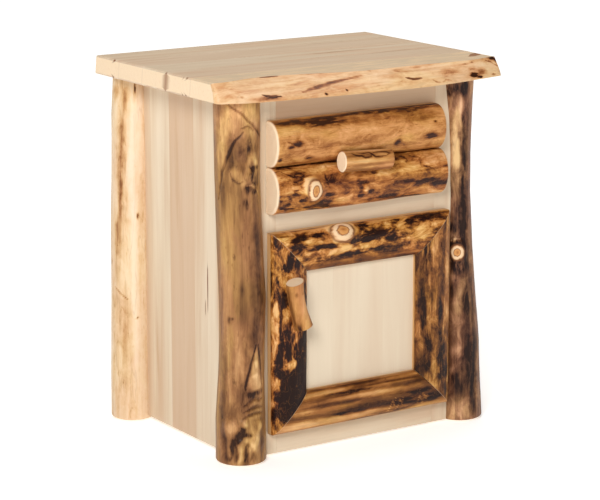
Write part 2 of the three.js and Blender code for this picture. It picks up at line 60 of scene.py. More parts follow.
def lattice(cells, seed):
    """A repeatable pseudo-random number from 0 to 1 for each whole-number cell."""
    mixed = seed * MIX_PRIME
    for axis, prime in enumerate(CELL_PRIMES):
        mixed = mixed + cells[..., axis] * prime
    mixed = mixed & LOW_BITS
    mixed = ((mixed ^ (mixed >> 13)) * MIX_PRIME) & LOW_BITS
    return ((mixed ^ (mixed >> 16)) & 0xFFFF) / 0xFFFF


def noise(points, size, seed=0, octaves=1):
    """Smooth noise from -1 to 1. size is the feature size in metres, one number or one per axis."""
    total, weight, strength = 0.0, 0.0, 1.0
    scaled = np.asarray(points) / np.asarray(size)
    for octave in range(octaves):
        base = np.floor(scaled).astype(np.int64)
        part = scaled - base
        ease = part * part * (3 - 2 * part)
        value = 0.0
        for corner in np.ndindex(2, 2, 2):
            share = np.prod(np.where(corner, ease, 1 - ease), axis=-1)
            value = value + share * lattice(base + np.array(corner), seed + octave)
        total = total + strength * (2 * value - 1)
        weight += strength
        strength *= 0.5
        scaled = scaled * 2.03
    return total / weight


def smooth_step(value, low, high):
    """From 0 to 1, without corners, while value goes from low to high."""
    t = np.clip((value - low) / (high - low), 0, 1)
    return t * t * (3 - 2 * t)


# ---- Meshes --------------------------------------------------------

SHARP_FROM = math.radians(40)
CAP_SHARES = (0.985, 0.9, 0.75, 0.55, 0.3)  # sizes of the rings that fill an end


def add_fields(mesh, fields):
    """Stores a number or a vector on each corner of a mesh, for the materials to read."""
    for key, values in fields.items():
        vector = np.ndim(values) == 2
        attribute = mesh.attributes.new(key, "FLOAT_VECTOR" if vector else "FLOAT", "POINT")
        attribute.data.foreach_set("vector" if vector else "value", np.ravel(values))


def corners_of(node):
    return np.array([corner.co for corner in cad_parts[node].data.vertices])


def link(name, data):
    """An object in the scene."""
    obj = bpy.data.objects.new(name, data)
    bpy.context.scene.collection.objects.link(obj)
    return obj


def add_object(name, points, faces, fields, look, body, node, slot):
    """One mesh piece with its painted fields, riding on a body in place of a CAD node."""
    mesh = bpy.data.meshes.new(name)
    mesh.from_pydata(points.tolist(), [], faces)
    add_fields(mesh, fields)
    mesh.shade_smooth()
    mesh.set_sharp_from_angle(angle=SHARP_FROM)
    mesh.materials.append(look)
    obj = link(name, mesh)
    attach(obj, body)
    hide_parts(node)


def loft_faces(rows, columns):
    """Quads between rings of points, then a fan to a hub point at each end."""
    faces = []
    for r in range(rows - 1):
        a, b = r * columns, (r + 1) * columns
        for c in range(columns):
            d = (c + 1) % columns
            faces.append((a + c, a + d, b + d, b + c))
    first, last, top = rows * columns, rows * columns + 1, (rows - 1) * columns
    for c in range(columns):
        d = (c + 1) % columns
        faces.append((first, d, c))
        faces.append((last, top + c, top + d))
    return faces


def loft(rings, fields, turn):
    """Points, faces and fields of a closed body through rings of points (rows, columns, 3).

    Each end is filled with rings that shrink to a hub. Field "cap" is 1 there, and "core" runs
    from 1 at the rim to 0 at the hub.
    """
    extra, shape = len(CAP_SHARES), rings.shape[:2]
    shares = np.array(CAP_SHARES)[:, None]
    start = {"points": rings, "cap": np.zeros(shape), "core": np.ones(shape), **fields}
    done = {}
    for key, values in start.items():
        done[key] = np.concatenate([values[:1]] * extra + [values] + [values[-1:]] * extra)
    for end, share in ((slice(None, extra), shares[::-1]), (slice(-extra, None), shares)):
        rim = done["points"][end]
        inwards = (rim.mean(axis=1, keepdims=True) - rim) * (1 - share[..., None])
        done["points"][end] = rim + inwards
        done["grain"][end] += inwards @ turn.T
        done["cap"][end] = 1
        done["core"][end] = share
    faces = loft_faces(*done["cap"].shape)
    if signed_volume(rings) < 0:
        faces = [face[::-1] for face in faces]
    for key, values in done.items():
        hubs = values[[0, -1]].mean(axis=1)
        done[key] = np.concatenate([values.reshape(-1, *values.shape[2:]), hubs])
    done["core"][-2:] = 0
    return done.pop("points"), faces, done


def signed_volume(rings):
    """Above 0 when the rings turn anticlockwise seen from their last end, so that faces point out."""
    centre = rings.mean(axis=(0, 1))
    first = rings[0] - centre
    around = np.cross(first, np.roll(first, -1, axis=0)).sum(axis=0)
    return float(around @ (rings[-1].mean(axis=0) - rings[0].mean(axis=0)))


def merged(parts):
    """Several lofts as one mesh."""
    points, faces, offset = [], [], 0
    for flat, part_faces, _ in parts:
        points.append(flat)
        faces.extend(tuple(i + offset for i in face) for face in part_faces)
        offset += len(flat)
    fields = {key: np.concatenate([part[2][key] for part in parts]) for key in parts[0][2]}
    return np.concatenate(points), faces, fields


def rounding(curl, steps):
    """Places through a rounded end of that size, closer together near its rim."""
    return curl * (1 - np.cos(math.pi / 2 * np.arange(steps) / steps))


def drawn_in(to_end, curl):
    """How far a section is drawn in where it is that near to a rounded end."""
    near = np.clip(1 - to_end / curl, 0, 1)
    return curl * (1 - np.sqrt(1 - near**2))


def end_stations(length, curl, steps, count):
    """Places along a piece with two rounded ends, and how far each section is drawn in."""
    curve = rounding(curl, steps)
    stations = np.concatenate([curve, np.linspace(curl, length - curl, count), length - curve[::-1]])
    return stations, drawn_in(np.minimum(stations, length - stations), curl)


# ---- Skins: a log's surface with its bumps and painted marks -------

PAINTED = ("dark", "crack", "stain", "pale", "calm", "sawn")
NO_RING = 2.0  # value of field "ring" away from knots
GRAIN_SHIFT = np.array([0.37, 0.53, 0.91])  # between the grain of two seeds, so that none repeats
OVAL_WANDER = 0.35  # how far the edge of a painted oval wanders, in half-sizes


class Skin:
    """The side surface of a piece, as rows of rings.

    across and along say where each point is on the surface in metres; girth is the distance
    right round a stick, and None on other pieces. turn maps a displacement to grain axes, whose
    third axis runs along the fibre. at maps a mark's place to across and along.
    """

    def __init__(self, points, out, across, along, turn, seed, girth=None):
        self.points, self.out = points, out
        self.across, self.along, self.girth = across, along, girth
        self.turn = np.array(turn, float)
        self.seed = seed
        self.at = lambda first, second: (first * MM, second * MM)
        self.lift = np.zeros(across.shape)
        self.fields = {key: np.zeros(across.shape) for key in PAINTED}
        self.fields["ring"] = np.full(across.shape, NO_RING)
        self.grain = points @ self.turn.T + GRAIN_SHIFT * seed

    def offsets(self, at, wander=0.0):
        """Distance of every point from a place, across and along, with a wandering edge."""
        da = self.across - at[0]
        if self.girth is not None:
            da = (da + self.girth / 2) % self.girth - self.girth / 2
        dl = self.along - at[1]
        if wander:
            da = da + wander * noise(self.grain, 0.012, self.seed + 11, 2)
            dl = dl + 2 * wander * noise(self.grain, 0.016, self.seed + 23, 2)
        return da, dl

    def distance(self, at, size, wander=0.0):
        """0 at the place, 1 on the edge of an oval of that half-size."""
        da, dl = self.offsets(at, wander)
        return np.hypot(da / size[0], dl / size[1])

    def mark(self, field, amount, *spots, soft=0.8):
        """Adds to a field inside ovals with a soft, wandering edge.

        Each is a place and the half-sizes across and along, in mm.
        """
        for first, second, wide, long in spots:
            size = (wide * MM, long * MM)
            reach = self.distance(self.at(first, second), size, OVAL_WANDER * min(size))
            self.fields[field] += amount * (1 - smooth_step(reach, 1 - soft, 1 + soft))

    def near(self, first, second, wide, long, power):
        """1 at a place and nearly 0 outside its oval, in mm."""
        return np.exp(-self.distance(self.at(first, second), (wide * MM, long * MM)) ** power)

    def swell(self, height, spot):
        """Raises an oval by up to height, in mm."""
        self.lift += height * MM * self.near(*spot, 2) ** 2

    def knot(self, place, radius, rise, stretch=1.1):
        """A cut branch stub, in mm: a low mound with a flat, ringed top and a dark moat."""
        size = (radius * MM, radius * MM * stretch)
        reach = self.distance(self.at(*place), size, 0.06 * radius * MM)
        self.lift += rise * MM * (1 - smooth_step(reach, 0.75, 1.9))
        self.lift -= 0.35 * rise * MM * np.exp(-((reach - 1.1) / 0.16) ** 2)
        self.fields["ring"] = np.minimum(self.fields["ring"], np.where(reach < 1.35, reach, NO_RING))

    def line(self, places, width, depth, field="crack", amount=1.2):
        """A painted groove through places that thins out at both ends, its width and depth in mm."""
        ways = [self.at(*place) for place in places]
        best = np.full(self.across.shape, 9.0)
        for k, (start, end) in enumerate(zip(ways, ways[1:])):
            da, dl = self.offsets(start, 0.5 * width * MM)
            ra, rl = end[0] - start[0], end[1] - start[1]
            t = np.clip((da * ra + dl * rl) / (ra**2 + rl**2), 0, 1)
            half = width * MM * (0.35 + 0.65 * np.sin(math.pi * (k + t) / (len(ways) - 1)))
            best = np.minimum(best, np.hypot(da - t * ra, dl - t * rl) / half)
        self.lift -= depth * MM * np.exp(-(best**2))
        self.fields[field] += amount * (1 - smooth_step(best, 0.6, 1.5))

    def weather(self, wave, facet, ripple):
        """Long waves, flats left by the drawknife and fine ripples along the grain, in mm."""
        waves = noise(self.grain, (0.05, 0.05, 0.2), self.seed, 2)
        flats = noise(self.grain, (0.018, 0.018, 0.11), self.seed + 5, 2)
        ripples = noise(self.grain, (0.005, 0.005, 0.06), self.seed + 9, 2)
        self.lift += MM * (wave * waves + facet * (np.abs(flats) * 2 - 0.6) + ripple * ripples)

    def loft(self):
        rings = self.points + self.out * self.lift[..., None]
        grain = self.grain + (self.out * self.lift[..., None]) @ self.turn.T
        return loft(rings, {**self.fields, "grain": grain}, self.turn)


# ---- Colours and node graphs ---------------------------------------


def colour(red, green, blue):
    """A screen colour from 0 to 255 as the linear light that shaders use."""
    def linear(c):
        c /= 255
        return c / 12.92 if c <= 0.04045 else ((c + 0.055) / 1.055) ** 2.4

    return (linear(red), linear(green), linear(blue), 1.0)


class Graph:
    """A material's node tree, with one short call for each kind of node."""

    def __init__(self, name, roughness=0.4, coat=0.0, metal=0.0):
        self.material = bpy.data.materials.new(name)
        self.material.use_nodes = True
        self.tree = self.material.node_tree
        self.shader = self.tree.nodes["Principled BSDF"]
        self.shader.inputs["Roughness"].default_value = roughness
        self.shader.inputs["Specular IOR Level"].default_value = 0.5 if metal else 0.14
        self.shader.inputs["Coat Weight"].default_value = coat
        self.shader.inputs["Coat Roughness"].default_value = 0.2
        self.shader.inputs["Metallic"].default_value = metal

    def put(self, socket, value):
        if isinstance(value, bpy.types.NodeSocket):
            self.tree.links.new(value, socket)
        else:
            socket.default_value = value

    def set(self, name, value):
        self.put(self.shader.inputs[name], value)

    def node(self, kind, inputs=(), output=0, **settings):
        """Adds a node with its settings and inputs, and gives one of its outputs."""
        made = self.tree.nodes.new(f"ShaderNode{kind}")
        for setting, value in settings.items():
            setattr(made, setting, value)
        for key, value in inputs.items() if isinstance(inputs, dict) else enumerate(inputs):
            self.put(made.inputs[key], value)
        return made.outputs[output]

    def field(self, name, vector=False):
        return self.node("Attribute", (), "Vector" if vector else "Fac", attribute_name=name)

    def position(self):
        return self.node("TexCoord", (), "Object")

    def maths(self, operation, a, b=0.0):
        return self.node("Math", (a, b), operation=operation)

    def times(self, a, b):
        return self.maths("MULTIPLY", a, b)

    def plus(self, a, b, weight):
        """a + weight * b"""
        return self.maths("ADD", a, self.times(b, weight))

    def centred(self, value):
        """A noise value from 0 to 1 as a swing about 0."""
        return self.maths("SUBTRACT", value, 0.5)

    def length(self, vector):
        return self.node("VectorMath", (vector,), "Value", operation="LENGTH")

    def stretched(self, vector, along):
        """Grain axes scaled along the fibre, so that noise gets longer there."""
        return self.node("VectorMath", (vector, (1, 1, along)), operation="MULTIPLY")

    def noise(self, vector, scale, detail=3.0, roughness=0.5, distortion=0.0):
        levels = {"Scale": scale, "Detail": detail, "Roughness": roughness, "Distortion": distortion}
        return self.node("TexNoise", {"Vector": vector, **levels})

    def step(self, value, low, high, first=0.0, last=1.0):
        """Smoothly from first to last while value goes from low to high."""
        return self.node("MapRange", (value, low, high, first, last), interpolation_type="SMOOTHSTEP")

    def ramp(self, value, stops):
        shades = self.node("ValToRGB", (value,), "Color")
        elements = shades.node.color_ramp.elements
        while len(elements) < len(stops):
            elements.new(0.5)
        for element, (place, shade) in zip(elements, stops):
            element.position = place
            element.color = shade
        return shades

    def mix(self, share, a, b, blend="MIX"):
        inputs = {"Factor": share, "A": a, "B": b}
        return self.node("Mix", inputs, "Result", data_type="RGBA", blend_type=blend)

    def bump(self, height, strength, distance):
        inputs = {"Strength": strength, "Distance": distance, "Height": height}
        self.set("Normal", self.node("Bump", inputs))


KNOT_RINGS = [
    (0.0, colour(168, 104, 54)),
    (0.25, colour(206, 144, 82)),
    (0.38, colour(214, 156, 94)),
    (0.49, colour(146, 86, 46)),
    (0.59, colour(238, 206, 166)),
    (0.82, colour(236, 200, 158)),
    (0.93, colour(196, 144, 98)),
    (1.0, colour(124, 78, 48)),
]
END_GRAIN = colour(240, 216, 184)
END_RING = colour(226, 194, 156)
DEEP_STREAK = colour(86, 50, 30)
SAW_TICK = colour(136, 84, 50)


def sawn_end(g, grain, shown):
    """Pale end grain with growth rings, over what is shown elsewhere."""
    rings = g.maths("SINE", g.times(g.field("core"), 55.0))
    grime = g.noise(grain, 180.0, 3.0, 0.6)
    shade = g.mix(g.step(rings, -0.4, 1.0, 0.0, 0.4), END_GRAIN, END_RING)
    shade = g.mix(g.step(grime, 0.55, 0.75, 0.0, 0.5), shade, END_RING)
    return g.mix(g.field("cap"), shown, shade)


def vein_lines(g, grain, scale, stretch, width):
    """1 on thin wavy lines that follow the grain."""
    field = g.noise(g.stretched(grain, stretch), scale, 3.0, 0.55, 0.6)
    return g.step(g.maths("ABSOLUTE", g.centred(field)), 0.0, width, 1.0, 0.0)


TONE_STOPS = (0.0, 0.15, 0.35, 0.55, 0.75, 1.0)
OLIVE_CAST = (1.0, 0.99, 0.78, 1.0)
ROSY_CAST = (1.0, 0.90, 0.86, 1.0)
CALM_SHARE = 0.25  # how much of the blotches is left on calm wood
MARK_SWINGS = {"pale": 0.34, "stain": -0.2, "crack": -0.5}
BARK_SWING = -0.5
FIBRE_SWING = 0.2
LOG_NOISES = {  # stretch along the fibre, scale, detail, roughness, distortion
    "blotch": (0.5, 54.0, 8.0, 0.72, 0.5),
    "streaks": (0.09, 52.0, 4.5, 0.55, 0.8),
    "fibre": (0.04, 430.0, 3.0, 0.6, 0.0),
    "flecks": (0.25, 150.0, 4.0, 0.6, 0.4),
    "cast": (0.4, 21.0, 3.0, 0.5, 0.6),
}


def log_tone(g, base, swings, flecks):
    """Place of each spot in the shades, from its noises and its painted marks."""
    tone = base
    for value, swing in swings:
        tone = g.plus(tone, g.centred(value), swing)
    bark = g.times(g.field("dark"), g.step(flecks, 0.38, 0.60, 0.35, 1.35))
    for field, swing in MARK_SWINGS.items():
        tone = g.plus(tone, g.field(field), swing)
    tone = g.plus(tone, bark, BARK_SWING)
    return g.maths("SUBTRACT", tone, g.step(flecks, 0.60, 0.74, 0.0, 0.22))


def log_material(name, shades, base, blotchy, streaky, gold=0.0, sawn=(208, 166, 114), tinted=1.0):
    """Peeled log. shades run from the darkest bark to the palest wood.

    base is the usual place in them; blotchy and streaky say how far patches and streaks swing
    it. gold is the strength of the light lines that insects left in the dark patches.
    """
    shades = [colour(*shade) for shade in shades]
    g = Graph(name, coat=0.05)
    grain = g.field("grain", vector=True)
    blotch, streaks, fibre, flecks, cast = (
        g.noise(g.stretched(grain, stretch), *levels) for stretch, *levels in LOG_NOISES.values())
    unrest = g.step(g.field("calm"), 0.0, 1.0, blotchy, CALM_SHARE * blotchy)
    tone = log_tone(g, base, ((blotch, unrest), (streaks, streaky), (fibre, FIBRE_SWING)), flecks)
    wood = g.ramp(tone, list(zip(TONE_STOPS, shades)))
    galleries = g.times(vein_lines(g, grain, 60.0, 0.7, 0.012), g.step(tone, 0.15, 0.45, gold, 0.0))
    wood = g.mix(galleries, wood, shades[3])
    wood = g.mix(g.times(vein_lines(g, grain, 42.0, 0.09, 0.024), 0.16), wood, shades[1])
    wood = g.mix(tinted, wood, g.ramp(cast, [(0.4, ROSY_CAST), (0.6, OLIVE_CAST)]), "MULTIPLY")
    ring = g.field("ring")
    knot = g.ramp(g.plus(ring, g.centred(flecks), 0.5), KNOT_RINGS)
    wood = g.mix(g.step(ring, 0.95, 1.3, 1.0, 0.0), wood, knot)
    saw = g.mix(g.step(fibre, 0.4, 0.65), colour(*sawn), shades[4])
    wood = g.mix(g.field("sawn"), wood, saw)
    wood = g.mix(g.step(g.field("crack"), 0.9, 1.4, 0.0, 0.8), wood, shades[1])
    g.set("Base Color", sawn_end(g, grain, wood))
    g.set("Roughness", g.step(blotch, 0.3, 0.7, 0.34, 0.55))
    g.bump(g.plus(g.plus(g.times(streaks, 0.8), fibre, 0.25), blotch, 0.7), 0.55, 0.0025)
    return g.material


def plank_material(name, tones, streak_scale, line, coat):
    """Clear-coated plank. tones are light, usual and warm wood and the streak colour."""
    light, usual, warm, streak = (colour(*tone) for tone in tones)
    g = Graph(name, coat=coat)
    grain = g.field("grain", vector=True)
    broad = g.noise(g.stretched(grain, 0.07), streak_scale, 4.0, 0.5, 0.8)
    lines = g.noise(g.stretched(grain, 0.02), 210.0, 4.0, 0.65, 0.5)
    pores = g.noise(g.stretched(grain, 0.06), 900.0, 2.0, 0.5)
    dark = g.field("dark")
    wood = g.ramp(broad, [(0.3, light), (0.5, usual), (0.7, warm)])
    wood = g.mix(g.step(g.field("tone"), 0.0, 1.0, 0.0, 0.8), wood, warm)
    wood = g.mix(g.step(lines, 0.48, 0.75, 0.0, line), wood, streak)
    wood = g.mix(g.step(pores, 0.55, 0.8, 0.0, 0.4 * line), wood, streak)
    wood = g.mix(g.step(g.plus(broad, g.field("stain"), 0.3), 0.66, 0.9, 0.0, 0.8), wood, streak)
    wood = g.mix(g.step(g.plus(lines, dark, 0.3), 0.74, 0.84, 0.0, 0.85), wood, DEEP_STREAK)
    wood = sawn_end(g, grain, g.mix(g.field("pale"), wood, light))
    ticks = g.times(g.step(dark, 0.3, 1.3, 0.0, 0.75), g.step(g.field("core"), 0.6, 0.98))
    g.set("Base Color", g.mix(ticks, wood, SAW_TICK))
    g.set("Roughness", g.step(broad, 0.3, 0.7, 0.34, 0.48))
    g.bump(g.plus(lines, pores, 0.4), 0.3, 0.0006)
    return g.material


def metal_material(name, base, worn, roughness):
    """Brushed along Y, with a cloudy change of shade."""
    g = Graph(name, roughness=roughness, metal=1.0)
    spot = g.position()
    brushed = g.noise(g.node("VectorMath", (spot, (1, 0.04, 1)), operation="MULTIPLY"), 900.0, 3.0, 0.6)
    cloudy = g.noise(spot, 60.0, 4.0, 0.6)
    g.set("Base Color", g.mix(g.step(cloudy, 0.35, 0.7), colour(*base), colour(*worn)))
    g.set("Roughness", g.step(brushed, 0.3, 0.7, roughness - 0.08, roughness + 0.12))
    g.bump(brushed, 0.25, 0.0002)
    return g.material


def plastic_material(name, base, worn):
    g = Graph(name, roughness=0.55)
    mottle = g.noise(g.position(), 220.0, 4.0, 0.6)
    g.set("Base Color", g.mix(g.step(mottle, 0.35, 0.7), colour(*base), colour(*worn)))
    g.set("Roughness", g.step(mottle, 0.3, 0.7, 0.48, 0.65))
    g.bump(g.noise(g.position(), 1800.0, 2.0, 0.5), 0.3, 0.0002)
    return g.material


# ---- The materials -------------------------------------------------

POST_LEFT = log_material(
    "post_left_wood",
    [(50, 28, 16), (95, 62, 38), (136, 96, 61), (171, 128, 84), (203, 162, 112), (233, 198, 149)],
    base=0.455, blotchy=0.8, streaky=0.8)
POST_RIGHT = log_material(
    "post_right_wood",
    [(36, 19, 15), (68, 43, 32), (104, 70, 50), (148, 108, 80), (190, 148, 112), (222, 186, 148)],
    base=0.49, blotchy=1.1, streaky=1.1)
POST_REAR = log_material(
    "post_rear_wood",
    [(84, 50, 28), (146, 96, 56), (196, 154, 108), (220, 187, 148), (230, 204, 172), (236, 216, 192)],
    base=0.68, blotchy=0.8, streaky=0.8, tinted=0.3)
DRAWER_UPPER = log_material(
    "drawer_upper_wood",
    [(54, 27, 15), (108, 62, 30), (156, 102, 52), (198, 146, 88), (220, 172, 118), (238, 202, 160)],
    base=0.48, blotchy=1.2, streaky=0.5)
DRAWER_LOWER = log_material(
    "drawer_lower_wood",
    [(46, 21, 15), (90, 48, 27), (146, 90, 44), (188, 128, 70), (214, 162, 104), (236, 198, 150)],
    base=0.52, blotchy=2.1, streaky=1.1, gold=0.3)
DOOR_LOG = log_material(
    "door_wood",
    [(34, 15, 11), (58, 29, 17), (118, 70, 32), (178, 118, 58), (204, 150, 88), (230, 188, 130)],
    base=0.47, blotchy=3.4, streaky=0.9, gold=0.2)
DOOR_LOG_BROWN = log_material(
    "door_brown_wood",
    [(34, 16, 11), (66, 37, 20), (112, 70, 35), (162, 110, 58), (202, 152, 94), (228, 186, 132)],
    base=0.46, blotchy=1.8, streaky=1.3, gold=0.2)
TWIG = log_material(
    "twig_wood",
    [(54, 28, 15), (104, 62, 33), (150, 100, 57), (186, 132, 81), (212, 162, 110), (232, 194, 148)],
    base=0.52, blotchy=1.1, streaky=0.9)
SLAB = plank_material(
    "slab_wood", [(224, 205, 180), (212, 192, 165), (208, 176, 148), (168, 130, 96)], 40.0, 0.28, 0.1)
SLAB_EDGE = log_material(
    "live_edge_wood",
    [(50, 25, 13), (136, 80, 44), (202, 150, 104), (222, 184, 142), (230, 200, 162), (238, 216, 188)],
    base=0.56, blotchy=0.9, streaky=0.8, sawn=(202, 181, 154), tinted=0.4)
STAVES = plank_material(
    "stave_wood", [(230, 215, 191), (220, 201, 174), (205, 173, 142), (190, 152, 114)], 22.0, 0.2, 0.1)
BOX_WOOD = plank_material(
    "box_wood", [(222, 198, 160), (212, 184, 140), (200, 168, 120), (160, 120, 78)], 30.0, 0.3, 0.05)
STEEL = metal_material("zinc_steel", (178, 182, 186), (150, 154, 160), 0.34)
BRONZE = metal_material("dark_bronze", (74, 58, 44), (46, 36, 28), 0.42)
SCREW_ZINC = metal_material("screw_zinc", (196, 186, 146), (164, 152, 112), 0.34)
CATCH = plastic_material("catch_plastic", (66, 48, 36), (54, 40, 30))
GLIDE = plastic_material("glide_plastic", (44, 34, 28), (60, 50, 42))

# ---- Posts ---------------------------------------------------------

POST_COLUMNS = 136
POST_ROW = 2.6 * MM
FOOT_ROUND = 4.5 * MM
FOOT_STEPS = 5
ABOVE_CAD_ROUNDING = 4.8 * MM
FULL_RING = 14  # a CAD post has at least this many corners on each of its rings


def fitted_circle(points):
    """Centre and radius of the circle through most of the points; slot corners are dropped."""
    kept = points
    for _ in range(4):
        rows = np.column_stack([2 * kept, np.ones(len(kept))])
        cx, cy, c = np.linalg.lstsq(rows, (kept**2).sum(axis=1), rcond=None)[0]
        radius = math.sqrt(c + cx**2 + cy**2)
        miss = np.abs(np.hypot(points[:, 0] - cx, points[:, 1] - cy) - radius)
        kept = points[miss <= max(np.percentile(miss, 70), 0.1 * MM)]
    return cx, cy, radius


def log_sections(node):
    """Height, centre and radius of the CAD post at each of its rings."""
    corners = corners_of(node)
    levels, counts = np.unique(corners[:, 2].round(4), return_counts=True)
    found = []
    for level in levels[counts >= FULL_RING]:
        ring = corners[np.abs(corners[:, 2] - level) < 0.2 * MM][:, :2]
        found.append((level, *fitted_circle(np.unique(ring.round(5), axis=0))))
    return np.array(found)


def post_skin(node, seed):
    """Skin of a post: the CAD post's rings with a rounded foot."""
    low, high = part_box(node)
    sections = log_sections(node)
    sections = sections[sections[:, 0] > low.z + ABOVE_CAD_ROUNDING]
    rows = int((high.z - low.z - FOOT_ROUND) / POST_ROW)
    above_foot = np.linspace(FOOT_ROUND, high.z - low.z, rows)
    heights = low.z + np.append(rounding(FOOT_ROUND, FOOT_STEPS), above_foot)
    cx, cy, radius = (np.interp(heights, sections[:, 0], sections[:, i]) for i in (1, 2, 3))
    radius = radius - drawn_in(heights - low.z, FOOT_ROUND)
    turn = np.linspace(-math.pi, math.pi, POST_COLUMNS, endpoint=False)
    out = np.zeros((len(heights), POST_COLUMNS, 3))
    out[..., 0], out[..., 1] = np.cos(turn), np.sin(turn)
    points = np.stack([cx, cy, heights], axis=-1)[:, None, :] + out * radius[:, None, None]
    return round_skin(points, out, turn, heights, radius, np.eye(3), seed)


def round_skin(points, out, angles, along, radius, turn, seed):
    """Skin of a round stick. Its places are (degrees, mm along it)."""
    usual = float(np.median(radius))
    across = np.broadcast_to(angles * usual, points.shape[:2])
    along = np.broadcast_to(along[:, None], points.shape[:2])
    skin = Skin(points, out, across, along, turn, seed, girth=2 * math.pi * usual)
    skin.at = lambda degrees, place: (math.radians(degrees) * usual, place * MM)
    return skin


def add_post(place, look, seed, weather, marked):
    """One post, weathered and then marked by the given function."""
    node = f"post_{place}"
    skin = post_skin(node, seed)
    skin.weather(*weather)
    marked(skin)
    skin.lift *= smooth_step(skin.along, skin.along.min(), skin.along.min() + FOOT_ROUND)
    add_object(f"log_{node}", *skin.loft(), look, "case", node, "peeled_log")


def mark_front_left(skin):
    """A tan post with much going on: cracks, a burl, a scar and a knotty foot."""
    arched_cracks(skin)
    burl(skin)
    calm_length(skin)
    scar(skin)
    foot_knots(skin)


def arched_cracks(skin):
    """One crack falls from the post's head to the right, one arches down its left side."""
    skin.mark("pale", 0.55, (-120, 650, 50, 34), (-150, 625, 14, 50), (-165, 580, 8, 40),
            (-66, 640, 12, 20))
    skin.line([(-146, 672), (-114, 656), (-89, 639), (-59, 618), (-36, 606)], 2.8, 1.8, amount=0.6)
    skin.line([(-112, 628), (-96, 632), (-76, 622)], 1.8, 1.0, "stain", 1.4)
    skin.line([(-105, 622), (-124, 608), (-139, 590), (-150, 571), (-163, 548), (-172, 520),
            (-180, 496)], 3.2, 2.2, amount=0.55)
    skin.mark("stain", 1.1, (-124, 596, 14, 30), (-108, 580, 10, 40), (-138, 556, 9, 38),
            (-160, 516, 6, 30))


def burl(skin):
    """Overgrown knots and lumps under the arch."""
    skin.swell(3.5, (-121, 545, 20, 20))
    skin.mark("pale", 0.8, (-126, 548, 9, 9), (-108, 535, 7, 14), (-82, 572, 9, 9), (-94, 556, 4, 14),
            (-70, 566, 5, 5), (-138, 540, 3, 12))
    lumps = noise(skin.grain, (0.009, 0.009, 0.013), 77, 2)
    skin.lift += 2.4 * MM * skin.near(-86, 552, 34, 46, 4) * lumps
    skin.line([(-140, 552), (-134, 536), (-118, 528), (-104, 534)], 1.8, 1.2, "stain", 1.2)
    skin.swell(4, (-82, 570, 11, 10))
    skin.swell(3, (-80, 540, 16, 24))
    skin.mark("dark", 0.8, (-84, 550, 7, 9), (-66, 534, 7, 12), (-95, 516, 6, 8), (-76, 512, 8, 5),
            (-102, 490, 5, 8), (-88, 598, 4, 14), (-66, 590, 5, 12), (-70, 556, 8, 3))
    skin.line([(-92, 560), (-80, 548), (-84, 532), (-70, 524)], 1.8, 1.4, amount=0.6)
    skin.line([(-104, 522), (-84, 524), (-64, 512), (-56, 500)], 1.6, 1.0, "pale", 0.8)


def calm_length(skin):
    """The smooth middle of the post: a brown right side, partly painted shade, and long pale streaks,
    partly painted light.
    """
    # The brown ovals down the right side are stain and painted shade, where the post turns away from the
    # light.
    skin.mark("stain", 0.9, (-70, 470, 10, 50), (-70, 423, 12, 34), (-74, 360, 16, 60),
            (-80, 300, 14, 70), (-86, 246, 9, 34))
    skin.mark("stain", 0.8, (-122, 334, 5, 12), (-155, 276, 5, 7), (-120, 290, 8, 30),
            (-112, 470, 7, 60))
    # The pale streaks, most of them down the left side, are grain and painted light, where the post faces
    # the light.
    skin.mark("pale", 0.4, (-150, 400, 9, 70), (-140, 250, 9, 60), (-164, 380, 7, 60),
            (-112, 420, 6, 60))
    skin.mark("calm", 1.0, (-140, 440, 40, 90), (-130, 300, 30, 60))
    skin.mark("dark", 0.4, (-155, 276, 2.5, 5), (-122, 334, 2, 4), (-148, 280, 4, 2))


def scar(skin):
    """A pale triangle between two cracks, with furrows under it."""
    skin.mark("pale", 0.9, (-83, 204, 4, 18), (-86, 182, 8, 16), (-86, 160, 14, 14), soft=0.25)
    skin.line([(-84, 228), (-98, 195), (-110, 160), (-112, 146)], 2.4, 1.4, amount=0.7)
    skin.line([(-78, 228), (-66, 190), (-60, 150)], 2.2, 1.4, amount=0.7)
    skin.mark("dark", 0.8, (-72, 140, 9, 5), (-96, 136, 8, 6))
    skin.mark("stain", 1.0, (-120, 132, 12, 26), (-172, 120, 8, 44), (-140, 104, 9, 16))
    for height in (126, 112, 100):
        skin.line([(-116, height - 8), (-88, height + 2), (-60, height - 1)], 3.4, 2.0, "stain", 0.9)
        skin.mark("pale", 0.4, (-86, height - 6, 14, 3))


def foot_knots(skin):
    """Two pale burls either side of a dark hollow, with painted highlights, above a furrowed foot."""
    lumps = ((-144, 76, 14, 20), (-90, 50, 16, 24), (-76, 78, 9, 14), (-112, 84, 8, 10))
    for degrees, height, wide, tall in lumps:
        skin.swell(5.5, (degrees, height, 1.2 * wide, tall))
        skin.mark("pale", 0.7, (degrees, height, 0.6 * wide, 0.6 * tall))
    # The small pale spots are painted highlights on the glossy lumps.
    skin.mark("pale", 0.9, (-111, 52, 4, 6), (-97, 38, 5, 8), (-84, 60, 3, 9), (-150, 28, 4, 7),
            (-122, 24, 6, 14))
    skin.mark("crack", 0.6, (-124, 60, 7, 8), (-136, 46, 5, 7))
    skin.mark("dark", 0.8, (-124, 60, 9, 10), (-136, 48, 7, 8), (-118, 74, 5, 6), (-104, 62, 5, 4),
            (-142, 36, 4, 8), (-106, 40, 3, 6))
    skin.swell(-5, (-124, 58, 11, 12))
    skin.mark("stain", 1.3, (-153, 22, 6, 10), (-134, 22, 4, 12), (-112, 20, 5, 12), (-163, 50, 6, 18),
            (-66, 40, 5, 20), (-92, 18, 4, 9))
    bumpy = noise(skin.grain, (0.012, 0.012, 0.019), 71, 2)
    skin.lift += 3.2 * MM * skin.near(-114, 52, 56, 40, 4) * bumpy
    for degrees in (-146, -132, -112, -98):
        skin.line([(degrees, 40), (degrees + 3, 26), (degrees - 2, 12)], 2.4, 1.8, "stain", 1.0)


